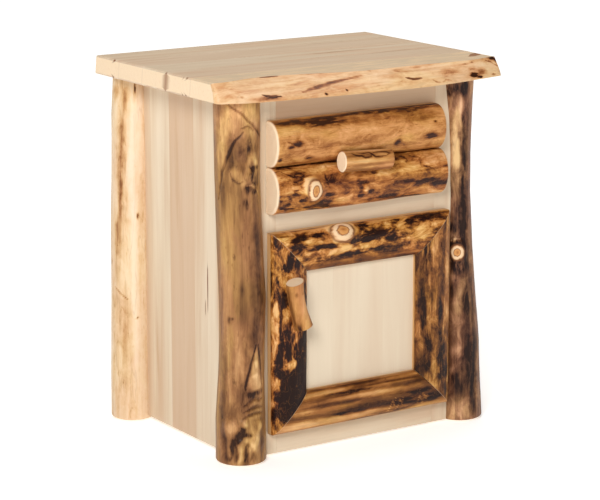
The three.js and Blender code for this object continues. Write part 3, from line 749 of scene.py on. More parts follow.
def mark_front_right(skin):
    """Waisted, dark and patchy, with a ringed knot halfway up and a painted highlight above it."""
    skin.knot((-122, 338), 13.5, 5)
    skin.swell(3.5, (-124, 358, 12, 7))
    # The two thin pale ovals just above the knot are a painted highlight.
    skin.mark("pale", 1.0, (-134, 360, 6, 3), (-122, 364, 7, 2), soft=0.3)
    skin.mark("dark", 1.2, (-122, 338, 20, 20))
    skin.mark("pale", 0.9, (-126, 543, 8, 22), (-120, 516, 8, 12), (-131, 586, 4, 12),
            (-107, 624, 2.5, 20), (-122, 30, 12, 22), (-126, 146, 9, 12), (-119, 90, 2.5, 12))
    skin.mark("pale", 0.5, (-122, 560, 22, 60), (-118, 620, 16, 30))
    skin.mark("pale", 0.4, (-124, 190, 14, 40), (-131, 250, 6, 22), (-100, 285, 3, 16),
            (-112, 600, 9, 24), (-110, 118, 8, 6))
    skin.mark("dark", 0.7, (-134, 653, 14, 14), (-98, 656, 9, 14), (-100, 597, 4, 14),
            (-99, 470, 3, 12), (-122, 385, 20, 10), (-131, 313, 10, 13), (-106, 308, 12, 13),
            (-139, 266, 8, 10), (-105, 142, 2.5, 8), (-134, 88, 9, 14), (-98, 240, 6, 30),
            (-104, 390, 14, 34))
    skin.mark("stain", 1.0, (-112, 430, 18, 50), (-85, 300, 12, 200), (-85, 560, 10, 80),
            (-105, 180, 6, 60), (-112, 130, 22, 60), (-120, 60, 24, 40))
    skin.mark("dark", 0.6, (-88, 90, 8, 60), (-92, 470, 6, 90))


def mark_rear_left(skin):
    """Pale, with brown patches where the bark was cut away."""
    skin.mark("stain", 1.35, (-148, 560, 7, 34), (-158, 508, 6, 26), (-152, 462, 5, 18),
            (-152, 425, 5, 22), (-158, 385, 5, 24), (-174, 648, 6, 20), (-141, 628, 4, 18),
            (-115, 650, 3, 20), (-165, 330, 6, 50))
    skin.mark("stain", 0.9, (-160, 215, 22, 50), (-155, 480, 12, 130), (-104, 409, 3, 8),
            (-152, 650, 26, 16), (-170, 90, 10, 60), (-140, 120, 5, 90))
    skin.mark("pale", 0.8, (-118, 480, 9, 160), (-112, 240, 6, 140), (-100, 560, 5, 60))
    skin.mark("dark", 1.4, (-104, 409, 2, 5), (167, 314, 4, 9), (-106, 209, 2, 2.5),
            (-115, 656, 1.5, 10))
    skin.line([(-178, 268), (-156, 259), (-132, 245)], 1.8, 0.8, "stain", 1.5)
    skin.line([(-116, 205), (-106, 209)], 1.2, 0.4, "stain", 1.5)
    skin.knot((95, 430), 9, 3)


def mark_rear_right(skin):
    skin.knot((20, 300), 11, 4)
    skin.knot((75, 520), 8, 3)
    skin.mark("dark", 0.9, (20, 268, 14, 24), (-30, 480, 8, 22), (50, 120, 9, 30))
    skin.mark("stain", 0.8, (60, 400, 20, 120), (-10, 600, 14, 60))
    skin.line([(40, 600), (60, 580), (90, 550)], 2, 1)


# ---- Split logs ----------------------------------------------------

CROWN_COLUMNS = 56
EDGE_COLUMNS = 4
BACK_COLUMNS = 10


def split_section(width, crown, low_edge, high_edge):
    """Section of a split log from its low edge over the crown to its high edge and back along
    the sawn face: corners (across, out), outward directions, how sawn, shares over the crown.
    """
    t = np.linspace(0, 1, CROWN_COLUMNS)
    edge = low_edge + (high_edge - low_edge) * t
    swell = np.sin(math.pi * t) ** 0.9
    arc = np.column_stack([width / 2 * (1 - np.cos(math.pi * t)), edge + (crown - edge) * swell])
    down = np.linspace(high_edge, 0, EDGE_COLUMNS + 1)[1:]
    up = np.linspace(0, low_edge, EDGE_COLUMNS + 1)[:-1]
    back = np.linspace(width, 0, BACK_COLUMNS + 1)[1:-1]
    flat = np.concatenate([
        np.column_stack([np.full(len(down), width), down]),
        np.column_stack([back, np.zeros(len(back))]),
        np.column_stack([np.zeros(len(up)), up])])
    section = np.concatenate([arc, flat])
    out = np.zeros_like(section)
    out[: len(arc), 0] = -np.cos(math.pi * t) * 0.8
    out[: len(arc), 1] = np.sin(math.pi * t) + 0.15
    out[: len(arc)] /= np.linalg.norm(out[: len(arc)], axis=1)[:, None]
    sawn = np.concatenate([np.zeros(len(arc)), np.ones(len(flat))])
    return section, out, sawn, t


END_STEPS = 5
LOG_ROW = 3.2 * MM
OVER_CROWN = 1.25  # length of the way over the crown, in widths
FORWARD = np.array([0.0, -1.0, 0.0])


def split_log(start, across, along, length, section, mitre, seed, end_round):
    """Skin of a split log. start is the corner of its sawn face, across and along unit vectors.

    mitre gives how far each end is cut back per metre across, from the section's first edge.
    """
    profile, out2, sawn, t = section
    u, h = profile.T
    width, crown = u.max(), h.max()
    stations, inset = end_stations(length, end_round, END_STEPS, int(length / LOG_ROW))
    begin, end = mitre[0] * u, length - mitre[1] * u
    along_at = begin + stations[:, None] / length * (end - begin)
    u_at = width / 2 + (u - width / 2) * (1 - inset[:, None] / (width / 2))
    h_at = h * (1 - inset[:, None] / crown)
    turn = np.array([across, FORWARD, along], float)
    points = np.array(start) + np.stack([u_at, h_at, along_at], axis=-1) @ turn
    out = np.broadcast_to(out2 @ turn[:2], points.shape)
    place = np.broadcast_to(np.append(t, np.linspace(1.05, 1.6, len(u) - len(t))), u_at.shape)
    skin = Skin(points, out, place * width * OVER_CROWN, along_at, turn, seed)
    skin.width = width
    skin.at = lambda percent, place: (percent / 100 * width * OVER_CROWN, place * MM)
    skin.fields["sawn"] += sawn
    to_end = np.minimum(stations, length - stations)
    cap = 1 - smooth_step(to_end, 0.2 * end_round, 0.9 * end_round)
    skin.fields["cap"] = np.broadcast_to(cap[:, None], u_at.shape).copy()
    skin.hold = (1 - sawn) * smooth_step(to_end, 0, 4 * end_round)[:, None]
    return skin


def add_split_log(body, side, look, seed, weather, marked):
    """A split log, weathered and marked. Its lift fades out towards its ends and sawn edges."""
    skin = drawer_skin(side, seed) if body == "drawer" else door_skin(side, seed)
    skin.weather(*weather)
    marked(skin)
    share = skin.across / (skin.width * OVER_CROWN)
    skin.lift *= skin.hold * smooth_step(share, 0.0, 0.08) * (1 - smooth_step(share, 0.92, 1.0))
    node = f"{body}_half_log_{side}"
    add_object(f"{side}_{body}_log", *skin.loft(), look, body, node, "half_log")


DRAWER_EDGE = 6 * MM
DRAWER_END_ROUND = 4.5 * MM


def drawer_skin(side, seed):
    low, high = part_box(f"drawer_half_log_{side}")
    section = split_section(high.z - low.z, high.y - low.y, DRAWER_EDGE, DRAWER_EDGE)
    start = (low.x, high.y, low.z)
    return split_log(start, (0, 0, 1), (1, 0, 0), high.x - low.x, section, (0, 0), seed, DRAWER_END_ROUND)


def mark_drawer_upper(skin):
    """Clean and tan, with bark left along its top."""
    skin.mark("dark", 0.9, (86, 40, 5, 30), (84, 78, 8, 18), (83, 104, 9, 20), (81, 136, 9, 16),
            (90, 60, 5, 50), (92, 150, 5, 50), (95, 200, 6, 40), (93, 232, 7, 26), (90, 262, 7, 14),
            (97, 290, 10, 60), (95, 350, 9, 30), (86, 300, 4, 20))
    skin.mark("stain", 1.0, (78, 110, 9, 50), (76, 250, 7, 60), (82, 320, 9, 50), (16, 210, 9, 150),
            (70, 330, 5, 30), (66, 300, 4, 30))
    skin.mark("dark", 0.9, (51, 44, 4, 8), (47, 28, 3, 7), (28, 71, 4, 7), (29, 8, 3, 4),
            (41, 340, 5, 13), (36, 265, 5, 8), (61, 351, 2, 3))
    skin.mark("pale", 0.5, (64, 110, 12, 60), (68, 30, 9, 30), (64, 230, 12, 50), (62, 335, 11, 40))
    skin.line([(56, 20), (50, 40), (52, 60)], 1.4, 0.8, "stain", 1.2)


def mark_drawer_lower(skin):
    """Gnarled, with a thick branch stub near its left end."""
    gnarled = skin.near(45, 36, 44, 50, 2)
    skin.lift += 2.2 * MM * gnarled * noise(skin.grain, (0.011, 0.011, 0.016), 51, 2)
    pitted = smooth_step(noise(skin.grain, (0.008, 0.008, 0.013), 57, 2), 0.05, 0.5)
    skin.fields["dark"] += 1.1 * gnarled * pitted
    skin.mark("calm", 1.0, (50, 76, 24, 24), soft=0.4)
    skin.mark("pale", 1.3, (53, 66, 15, 15), (60, 60, 8, 10), soft=0.3)
    skin.swell(5, (52, 68, 26, 30))
    skin.knot((50, 76), 14.5, 7)
    skin.swell(4, (42, 192, 9, 9))
    skin.mark("pale", 1.2, (43, 192, 5, 6))
    skin.mark("dark", 1.0, (18, 90, 6, 40), (38, 112, 9, 12), (28, 100, 7, 16), (25, 20, 6, 12),
            (52, 182, 9, 9), (34, 182, 6, 6), (65, 214, 4, 6), (38, 205, 4, 6), (36, 363, 4, 22),
            (42, 332, 3, 26), (16, 300, 6, 30), (24, 250, 4, 20), (92, 30, 5, 20), (95, 120, 4, 60),
            (96, 330, 4, 40))
    # The last two ovals, near the top edge under the peg, are bark with the peg's shadow painted over it.
    skin.mark("stain", 1.0, (60, 130, 12, 24), (45, 150, 10, 24), (40, 290, 10, 50), (30, 230, 10, 40),
            (93, 80, 6, 60), (70, 300, 6, 40), (84, 236, 6, 62), (80, 240, 3, 50))
    skin.mark("pale", 0.55, (80, 40, 6, 30), (82, 100, 5, 26), (84, 340, 7, 50), (36, 162, 4, 5),
            (30, 150, 9, 18), (62, 232, 8, 14), (68, 330, 5, 30), (20, 350, 7, 50), (55, 270, 5, 26),
            (28, 200, 5, 30))
    for way in ([(82, 16), (72, 34), (68, 52), (72, 78)], [(74, 104), (62, 106), (50, 112)],
                [(86, 280), (78, 292), (70, 286)],
                [(84, 300), (78, 322), (66, 318), (60, 344)]):
        skin.line(way, 1.7, 1.3, amount=0.6)


# ---- Door ----------------------------------------------------------

PANEL_LAP = 10 * MM
DOOR_OUTER_EDGE = 12 * MM
DOOR_INNER_EDGE = 16 * MM
DOOR_END_ROUND = 1.4 * MM
MITRE_SHOWN = 0.3  # how much of the end grain shows on the mitres


def door_skin(side, seed):
    """Skin of one of the four mitred members, from the outer edge in to the panel."""
    low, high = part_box(f"door_half_log_{side}")
    outer_low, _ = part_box("door_half_log_left")
    _, outer_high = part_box("door_half_log_right")
    panel_low, panel_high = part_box("door_panel")
    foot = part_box("door_half_log_bottom")[0].z
    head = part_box("door_half_log_top")[1].z
    breadth = outer_high.x - outer_low.x
    width = {
        "left": panel_low.x + PANEL_LAP - outer_low.x,
        "right": outer_high.x - panel_high.x + PANEL_LAP,
        "bottom": panel_low.z + PANEL_LAP - foot,
        "top": head - panel_high.z + PANEL_LAP,
    }
    plan = {
        "left": ((outer_low.x, head), (1, 0, 0), (0, 0, -1), head - foot, ("top", "bottom")),
        "right": ((outer_high.x, foot), (-1, 0, 0), (0, 0, 1), head - foot, ("bottom", "top")),
        "top": ((outer_high.x, head), (0, 0, -1), (-1, 0, 0), breadth, ("right", "left")),
        "bottom": ((outer_low.x, foot), (0, 0, 1), (1, 0, 0), breadth, ("left", "right")),
    }
    corner, across, along, length, meets = plan[side]
    section = split_section(width[side], high.y - low.y, DOOR_OUTER_EDGE, DOOR_INNER_EDGE)
    mitre = tuple(width[other] / width[side] for other in meets)
    start = (corner[0], high.y, corner[1])
    skin = split_log(start, across, along, length, section, mitre, seed, DOOR_END_ROUND)
    skin.fields["cap"] *= MITRE_SHOWN
    return skin


def mark_door_left(skin):
    """Almost black below, mottled gold and black above."""
    skin.mark("dark", 1.1, (50, 54, 10, 14), (38, 66, 6, 8), (20, 86, 4, 6), (11, 107, 5, 9),
            (30, 122, 10, 10), (27, 178, 4, 28), (40, 185, 5, 30), (36, 220, 12, 20), (55, 215, 10, 18),
            (20, 234, 8, 14), (45, 290, 22, 40), (28, 322, 16, 30), (62, 270, 14, 40), (10, 350, 5, 14),
            (75, 160, 10, 60), (80, 300, 16, 50))
    skin.mark("dark", -1.6, (48, 247, 7, 9), (20, 282, 7, 12), (16, 140, 5, 12))
    skin.mark("pale", 0.5, (16, 140, 7, 14), (48, 247, 5, 7), (7, 190, 3, 190), (30, 90, 16, 30),
            (20, 180, 4, 30), (24, 60, 6, 20))
    skin.mark("stain", 1.3, (50, 300, 34, 60), (75, 230, 16, 60), (80, 290, 16, 60))
    skin.line([(42, 322), (50, 330), (46, 340), (38, 334), (42, 322)], 1.6, 0.6, "pale", 0.9)


def mark_door_right(skin):
    """Brown, with gold patches beside black ones near its outer edge."""
    skin.mark("dark", 1.0, (68, 300, 6, 26), (65, 88, 7, 14), (63, 134, 7, 20), (45, 151, 5, 14),
            (30, 60, 8, 30), (42, 190, 4, 20), (75, 190, 5, 40), (40, 330, 5, 16))
    skin.mark("pale", 0.6, (55, 251, 3, 15), (53, 198, 4, 10), (12, 98, 7, 26), (20, 48, 7, 8),
            (24, 240, 5, 14), (24, 186, 8, 14))
    skin.mark("pale", 0.9, (66, 300, 2.5, 22), (56, 290, 2, 20), (76, 312, 2, 16), (62, 250, 2, 18))
    skin.mark("dark", 1.1, (40, 88, 6, 46), (30, 112, 5, 9), (28, 70, 5, 8))
    skin.mark("stain", 1.0, (90, 150, 9, 160), (80, 270, 7, 60), (72, 84, 12, 50))


def mark_door_top(skin):
    """A big pale knot stands on gold wood with black patches; the inner half is brown, partly wood and
    partly painted shade.
    """
    skin.swell(6, (27, 256, 26, 34))
    skin.mark("calm", 1.0, (27, 256, 24, 36), (85, 190, 16, 180), (8, 190, 5, 180), soft=0.5)
    skin.mark("pale", 1.7, (20, 256, 22, 30), (38, 254, 14, 20), (14, 236, 12, 12), (12, 278, 10, 12),
            soft=0.3)
    skin.knot((24, 256), 17, 4, 1.5)
    skin.mark("pale", 0.7, (10, 330, 7, 50), (8, 150, 4, 60), (30, 125, 7, 16), (35, 345, 4, 20),
            (52, 215, 5, 20), (56, 250, 4, 40), (50, 175, 4, 14), (6, 60, 4, 40))
    skin.mark("dark", 1.2, (20, 205, 14, 12), (36, 172, 7, 30), (42, 210, 6, 40), (16, 128, 7, 10),
            (22, 105, 8, 16), (16, 66, 8, 22), (45, 128, 4, 20), (46, 290, 4, 40), (24, 306, 4, 16),
            (28, 350, 5, 18), (40, 360, 4, 20), (62, 200, 3, 60))
    # The brown along the inner half is partly the wood and partly painted shade on the slope that faces
    # down.
    skin.mark("stain", 1.0, (80, 190, 20, 180))


def mark_door_bottom(skin):
    """Long brown and tan streaks, and light squiggles near the right end."""
    skin.fields["calm"] += 0.8
    skin.mark("pale", 0.6, (78, 110, 4, 50), (62, 180, 3, 70), (50, 60, 4, 40), (30, 150, 5, 80),
            (72, 250, 4, 50), (24, 60, 6, 40), (84, 280, 4, 50))
    skin.mark("stain", 1.3, (55, 120, 3, 70), (40, 190, 6, 60), (68, 280, 5, 60), (88, 200, 4, 120))
    skin.mark("dark", 0.8, (20, 268, 4, 40), (38, 285, 6, 24), (32, 335, 6, 26), (36, 368, 6, 16),
            (36, 160, 3, 30), (12, 190, 3, 30), (70, 160, 3, 40), (50, 330, 4, 30))
    for along in (262, 280, 326, 338):
        squiggle = [(22, along - 6), (42, along), (32, along + 5), (46, along + 8)]
        skin.line(squiggle, 1.3, 0.4, "pale", 1.2)


# ---- Boards --------------------------------------------------------


def board_section(width, thick, round_edge, columns):
    """Corners of a board's section with rounded arrises: (across, through)."""
    half_w, half_t = width / 2 - round_edge, thick / 2 - round_edge
    points = []
    for quarter, (sx, sy) in enumerate(((1, 1), (-1, 1), (-1, -1), (1, -1))):
        for i in range(4):
            angle = math.pi / 2 * (quarter + i / 3)
            bent = round_edge * math.cos(angle), round_edge * math.sin(angle)
            points.append((sx * half_w + bent[0], sy * half_t + bent[1]))
        if quarter % 2 == 0:
            for i in range(1, columns):
                share = i / columns
                points.append((sx * half_w * (1 - 2 * share), sy * (half_t + round_edge)))
    return np.array(points)


def board(low, high, axes, seed, round_edge, columns=8, row=12 * MM, tone=0.0, end_round=None):
    """Skin of a board that fills a box. axes are the axis numbers across, through and along.

    end_round rounds the ends over the thickness only, for boards that meet edge to edge.
    """
    across, through, along = axes
    low, high = np.array(low), np.array(high)
    size, centre = high - low, (low + high) / 2
    section = board_section(size[across], size[through], round_edge, columns)
    curl = end_round or round_edge
    stations, inset = end_stations(size[along], curl, 4, max(3, int(size[along] / row)))
    narrowed = np.zeros_like(inset) if end_round else inset
    points = np.zeros((len(stations), len(section), 3))
    for axis, corner, shrunk in ((across, section[:, 0], narrowed), (through, section[:, 1], inset)):
        points[..., axis] = centre[axis] + corner * (1 - shrunk[:, None] / (size[axis] / 2))
    points[..., along] = low[along] + stations[:, None]
    out = np.zeros_like(points)
    out[..., through] = np.sign(section[:, 1])
    place, run = points[..., across].copy(), points[..., along].copy()
    skin = Skin(points, out, place, run, np.eye(3)[list(axes)], seed)
    skin.fields["tone"] = np.full(points.shape[:2], tone)
    return skin


def plank_piece(name, node, axes, look, body, slot, seed, round_edge, tone=0.3):
    """A CAD board with rounded arrises and its own grain."""
    skin = board(*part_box(node), axes, seed, round_edge, tone=tone)
    add_object(name, *skin.loft(), look, body, node, slot)


X, Y, Z = 0, 1, 2
STAVE_COLUMN = 2 * MM
STAVE_ROW = 6 * MM
STAVE_ARRIS = 0.12 * MM
BOARD_SOFT = 0.4  # softness of the marks on staves and slab


def stave_panel(name, node, axes, cuts, tones, seed, marks=(), body="case"):
    """A panel of edge-glued staves. cuts are the joints, as places across it."""
    low, high = (np.array(corner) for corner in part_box(node))
    across = axes[0]
    edges = [low[across], *cuts, high[across]]
    parts = []
    for i, tone in enumerate(tones):
        stave_low, stave_high = low.copy(), high.copy()
        stave_low[across], stave_high[across] = edges[i], edges[i + 1]
        columns = int((stave_high - stave_low)[across] / STAVE_COLUMN)
        skin = board(stave_low, stave_high, axes, seed + 3 * i, STAVE_ARRIS, columns, STAVE_ROW, tone)
        for field, amount, spot in marks:
            skin.mark(field, amount, spot, soft=BOARD_SOFT)
        parts.append(skin.loft())
    add_object(name, *merged(parts), STAVES, body, node, "pale_panel")


def side_panels():
    """The left panel has a dark streak in its foremost stave; the others are guessed."""
    marks = [
        ("dark", 1.0, (-69, 304, 2.2, 48)),
        ("dark", 0.5, (-69, 360, 1.6, 60)),
        ("dark", 1.0, (-61, 272, 2.2, 18)),
        ("stain", 0.6, (-45, 200, 14, 160)),
        ("stain", 0.6, (40, 500, 8, 150)),
        ("stain", 0.6, (120, 300, 8, 200)),
        ("stain", 0.5, (30, 140, 3, 60)),
    ]
    cuts = (-0.068, -0.023, 0.065, 0.134)
    tones = (0.25, 0.35, 0.9, 0.2, 0.5)
    stave_panel("left_side_staves", "side_panel_left", (Y, X, Z), cuts, tones, 60, marks)
    cuts, tones = (-0.05, 0.02, 0.095), (0.5, 0.1, 0.7, 0.3)
    stave_panel("right_side_staves", "side_panel_right", (Y, X, Z), cuts, tones, 80)
    low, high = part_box("back_panel")
    cuts = [low.x + (high.x - low.x) * share for share in (0.16, 0.35, 0.5, 0.68, 0.84)]
    tones = (0.3, 0.7, 0.1, 0.5, 0.8, 0.2)
    stave_panel("back_staves", "back_panel", (X, Y, Z), cuts, tones, 100)


def door_staves():
    marks = [("pale", 0.6, (0, 240, 500, 500))]
    cuts, tones = (-0.055, 0.059), (0.2, 0.35, 0.25)
    stave_panel("door_staves", "door_panel", (X, Y, Z), cuts, tones, 120, marks, "door")


def face_frame():
    # rail_top gets the darkest, warmest tone: painted shade under the slab's overhang. stile_left and
    # rail_middle get the lightest tone: painted light where those strips are lit.
    tones = {"stile_left": 0.0, "stile_right": 0.3,
             "rail_top": 1.0, "rail_middle": 0.0, "rail_bottom": 0.2}
    for seed, (node, tone) in enumerate(tones.items(), 140):
        axes = (X, Y, Z) if node.startswith("stile") else (Z, Y, X)
        plank_piece(f"frame_{node}", node, axes, STAVES, "case", "pale_panel", seed, 0.15 * MM, tone)


def inner_boards():
    """Drawer box, runners and cleats: plain sanded boards."""
    level, lengthwise, flat = (Z, Y, X), (Z, X, Y), (X, Z, Y)
    boards = {
        "drawer_subfront": level, "drawer_side_left": lengthwise, "drawer_side_right": lengthwise,
        "drawer_back": level, "drawer_bottom": flat, "slide_runner_left": lengthwise,
        "slide_runner_right": lengthwise, "top_cleat_left": lengthwise, "top_cleat_right": lengthwise,
    }
    for seed, (node, axes) in enumerate(boards.items(), 160):
        body = "drawer" if node.startswith("drawer") else "case"
        plank_piece(f"plank_{node}", node, axes, BOX_WOOD, body, "drawer_box_wood", seed, 1.2 * MM)


# ---- Top slab ------------------------------------------------------

SLAB_ARRIS = 0.08 * MM
SLAB_CORNER = 3 * MM
SLAB_TONES = (0.3, 0.5, 0.2, 0.45)
END_BATTER = 3 * MM


def slab_boards():
    for i, tone in enumerate(SLAB_TONES, 1):
        node = f"top_board_{i}"
        low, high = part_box(node)
        skin = board(low, high, (Y, Z, X), 200 + 5 * i, SLAB_ARRIS, 14, 8 * MM, tone, SLAB_CORNER)
        batter_ends(skin, low, high)
        slab_marks(skin)
        add_object(f"slab_board_{i}", *skin.loft(), SLAB, "case", node, "slab_top")


def batter_ends(skin, low, high):
    """Leans the ends in towards the top face, as the CAD boards do."""
    rise = (skin.points[..., 2] - low.z) / (high.z - low.z)
    skin.points[..., 0] *= 1 - END_BATTER * rise / high.x


def slab_marks(skin):
    """Brown streaks on the top face and dark ticks along its left arris."""
    streaks = (
        (20, -140, 120, 0.9), (-50, 50, 180, 0.8), (100, 160, 140, 0.7), (150, -50, 160, 0.6),
        (-20, 220, 90, 0.8), (-60, -240, 60, 0.7), (30, 100, 100, 0.8))
    for y, x, long, amount in streaks:
        skin.mark("stain", amount, (y, x, 4, long), soft=BOARD_SOFT)
    ticks = ((172, 3, 1.6), (-22, 5, 1.1), (-68, 2, 1.1), (-82, 2, 0.9), (-96, 2, 1.1))
    for y, wide, amount in ticks:
        skin.mark("dark", amount, (y, -316, wide, 3), soft=BOARD_SOFT)


FACE_COLUMNS = 40
EDGE_ROWS = 26
EDGE_STATIONS = 240
EDGE_CORNER = 7 * MM


def edge_curve(node, height):
    """The CAD live edge at one height, as x and y places in order."""
    corners = corners_of(node)
    level = corners[np.abs(corners[:, 2] - height) < 0.1 * MM]
    front = level[level[:, 1] < level[:, 1].max() - 20 * MM]
    front = np.unique(front.round(5), axis=0)
    return front[np.argsort(front[:, 0]), :2].T


def live_edge_rings(node, ease):
    """Rings of the front board, from the foot of its edge back, over the top and down again.

    ease gives the places down the sloping edge. The ends are rounded.
    """
    low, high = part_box(node)
    stations, drawn = end_stations(high.x - low.x, EDGE_CORNER, 5, EDGE_STATIONS)
    stations = stations + low.x
    top_y = np.interp(stations, *edge_curve(node, high.z)) + drawn
    foot_y = np.interp(stations, *edge_curve(node, low.z)) + drawn
    face = np.linspace(0, 1, FACE_COLUMNS + 1)
    rings = []
    for x, front_top, front_foot, fall in zip(stations, top_y, foot_y, drawn * SLAB_CORNER / EDGE_CORNER):
        head, foot = high.z - fall, low.z + 0.5 * fall
        slope_y = front_top + (front_foot - front_top) * (1 - (1 - ease) ** 1.4)
        slope_z = head - (head - foot) * ease
        lower = [(x, y, foot) for y in front_foot + (high.y - front_foot) * face[1:]]
        upper = [(x, y, head) for y in high.y + (front_top - high.y) * face[:-1]]
        rings.append(lower + upper + [(x, y, z) for y, z in zip(slope_y, slope_z)])
    return np.array(rings), top_y


def live_edge_board():
    """The front board: flat above and below, with a sloping, rippled bark edge.

    Its places are (x, down from the arris), the second below 0 on the top face.
    """
    node = "top_board_live_edge"
    low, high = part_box(node)
    ease = np.linspace(0, 1, EDGE_ROWS)
    points, top_y = live_edge_rings(node, ease)
    upper, edge = slice(FACE_COLUMNS, 2 * FACE_COLUMNS), slice(2 * FACE_COLUMNS, None)
    across = np.ones(points.shape[:2])
    across[:, edge] = ease * (high.z - low.z)
    across[:, upper] = top_y[:, None] - points[:, upper, 1]
    out = np.zeros_like(points)
    out[:, edge, 1] = -0.8
    out[:, edge, 2] = 0.6 * (1 - ease) - 0.15
    skin = Skin(points, out, across, points[..., 0].copy(), np.eye(3)[[Y, Z, X]], 240)
    skin.fields["sawn"][:, : 2 * FACE_COLUMNS] = 1
    batter_ends(skin, low, high)
    mark_live_edge(skin)
    skin.lift[:, : 2 * FACE_COLUMNS] = 0
    skin.lift[:, edge] *= np.sin(math.pi * ease) ** 0.5
    add_object("slab_live_edge", *skin.loft(), SLAB_EDGE, "case", node, "slab_top")


def mark_live_edge(skin):
    """Ripples, wormholes, cracks and bark left along the front edge."""
    skin.at = lambda x, below: (below * MM, x * MM)
    skin.lift += 1.8 * MM * noise(skin.grain, (0.02, 0.02, 0.05), 31, 3)
    skin.lift += 0.8 * MM * noise(skin.grain, (0.006, 0.006, 0.02), 37, 2)
    skin.line([(-150, 25), (-120, 20), (-71, 13), (-14, 6)], 2.6, 0.9, "stain", 1.6)
    skin.line([(-230, 24), (-214, 28), (-196, 28)], 1.6, 0.8)
    skin.line([(76, 17), (92, 20), (110, 20)], 1.8, 1.0)
    skin.line([(133, 24), (140, 29), (148, 30)], 1.3, 0.6, "stain", 1.5)
    skin.line([(153, 30), (164, 27), (176, 29)], 1.3, 0.6, "stain", 1.5)
    skin.line([(282, 4), (296, 8), (312, 18)], 1.6, 0.6, "stain", 1.5)
    skin.mark("dark", 1.6, (-105, 30, 1.8, 2.2), (-60, 27, 1.4, 1.8), (-269, 25, 1.5, 3),
            (238, 25, 3.5, 9), (253, 31, 2, 6), (294, 30, 1.5, 5), (244, 4, 1.2, 4))
    skin.line([(272, -34), (292, -40), (306, -48), (315, -54)], 10, 0, amount=3.0)
    skin.line([(-206, 0), (-188, -1), (-170, 0)], 2, 0.5, amount=1.4)
    skin.mark("stain", 1.4, (306, 3, 4, 14), (312, 12, 7, 5), (300, -2, 3, 12), (262, 20, 6, 12))
    skin.mark("dark", 0.8, (312, 8, 4, 4), (306, 2, 2.5, 9), (240, 14, 3, 8), (232, 5, 1.5, 9))
    skin.mark("stain", 1.2, (238, 27, 6, 20), (70, 4, 1.5, 16), (111, 3, 1.5, 12), (-226, 29, 4, 26),
            (180, 16, 5, 20))


# ---- Pulls ---------------------------------------------------------

STICK_COLUMNS = 64
STICK_STEPS = 4
PEG_END_ROUND = 2.5 * MM
PEG_ROW = 2 * MM


def swept_round(path, radii, turn, seed):
    """Skin of a round stick through path points."""
    path = np.array(path, float)
    heading = np.gradient(path, axis=0)
    heading /= np.linalg.norm(heading, axis=1)[:, None]
    side = np.cross(heading, -FORWARD)
    side /= np.linalg.norm(side, axis=1)[:, None]
    other = np.cross(heading, side)
    angles = np.linspace(0, 2 * math.pi, STICK_COLUMNS, endpoint=False)
    wheel = np.stack([np.cos(angles), np.sin(angles)], axis=-1)
    out = wheel @ np.stack([side, other], axis=1)
    run = np.append(0, np.cumsum(np.linalg.norm(np.diff(path, axis=0), axis=1)))
    return round_skin(path[:, None, :] + out * radii[:, None, None], out, angles, run, radii, turn, seed)


def drawer_peg():
    """An oval peg that isn't quite level. Degrees go from its top to its front."""
    node = "drawer_pull_peg"
    low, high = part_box(node)
    corners = corners_of(node)
    at_left = corners[corners[:, 0] < low.x + 4 * MM]
    at_right = corners[corners[:, 0] > high.x - 4 * MM]
    left, right = at_left.mean(axis=0), at_right.mean(axis=0)
    height, depth = np.ptp(at_left[:, 2]), high.y - low.y
    length = np.linalg.norm(right - left)
    stations, inset = end_stations(length, PEG_END_ROUND, STICK_STEPS, int(length / PEG_ROW))
    path = left + (right - left) * stations[:, None] / length
    skin = swept_round(path, height / 2 - inset, np.eye(3)[[Y, Z, X]], 310)
    skin.points[..., 1] = left[1] + (skin.points[..., 1] - left[1]) * depth / height
    skin.weather(0.9, 0.4, 0.2)
    skin.fields["calm"] += 0.6
    for way in ([(34, 15), (50, 24), (56, 36), (66, 44), (60, 56), (44, 60)],
                [(30, 26), (38, 40), (32, 54), (46, 60), (62, 66), (66, 78), (58, 92)],
                [(58, 92), (46, 100), (34, 92), (30, 76), (34, 62)]):
        skin.line(way, 2.0, 1.0, amount=0.7)
    skin.mark("stain", 0.7, (46, 50, 7, 50), (112, 40, 4, 30), (116, 78, 3, 12), (150, 60, 10, 80))
    # The first pale oval, a thin stripe along the top, is a painted highlight.
    skin.mark("pale", 0.9, (8, 60, 5, 60), (86, 50, 4, 60), (48, 80, 3, 14), (118, 60, 3, 60))
    skin.fields["cap"] = 1 - smooth_step(skin.along, 0.8 * MM, 2.4 * MM)
    skin.lift *= smooth_step(np.minimum(skin.along, length - skin.along), 0, 6 * MM)
    add_object("drawer_peg", *skin.loft(), TWIG, "drawer", node, "twig_pull")


CUT_RISE = (0.315, 0.10)  # how steeply the branch's top cut climbs to the right and back
CUT_FADE = 24 * MM
STUB_FOOT = 3 * MM
STUB_BEND = 4 * MM
STUB_END_ROUND = 0.02  # in lengths of the stub
STUB_STATIONS = 40


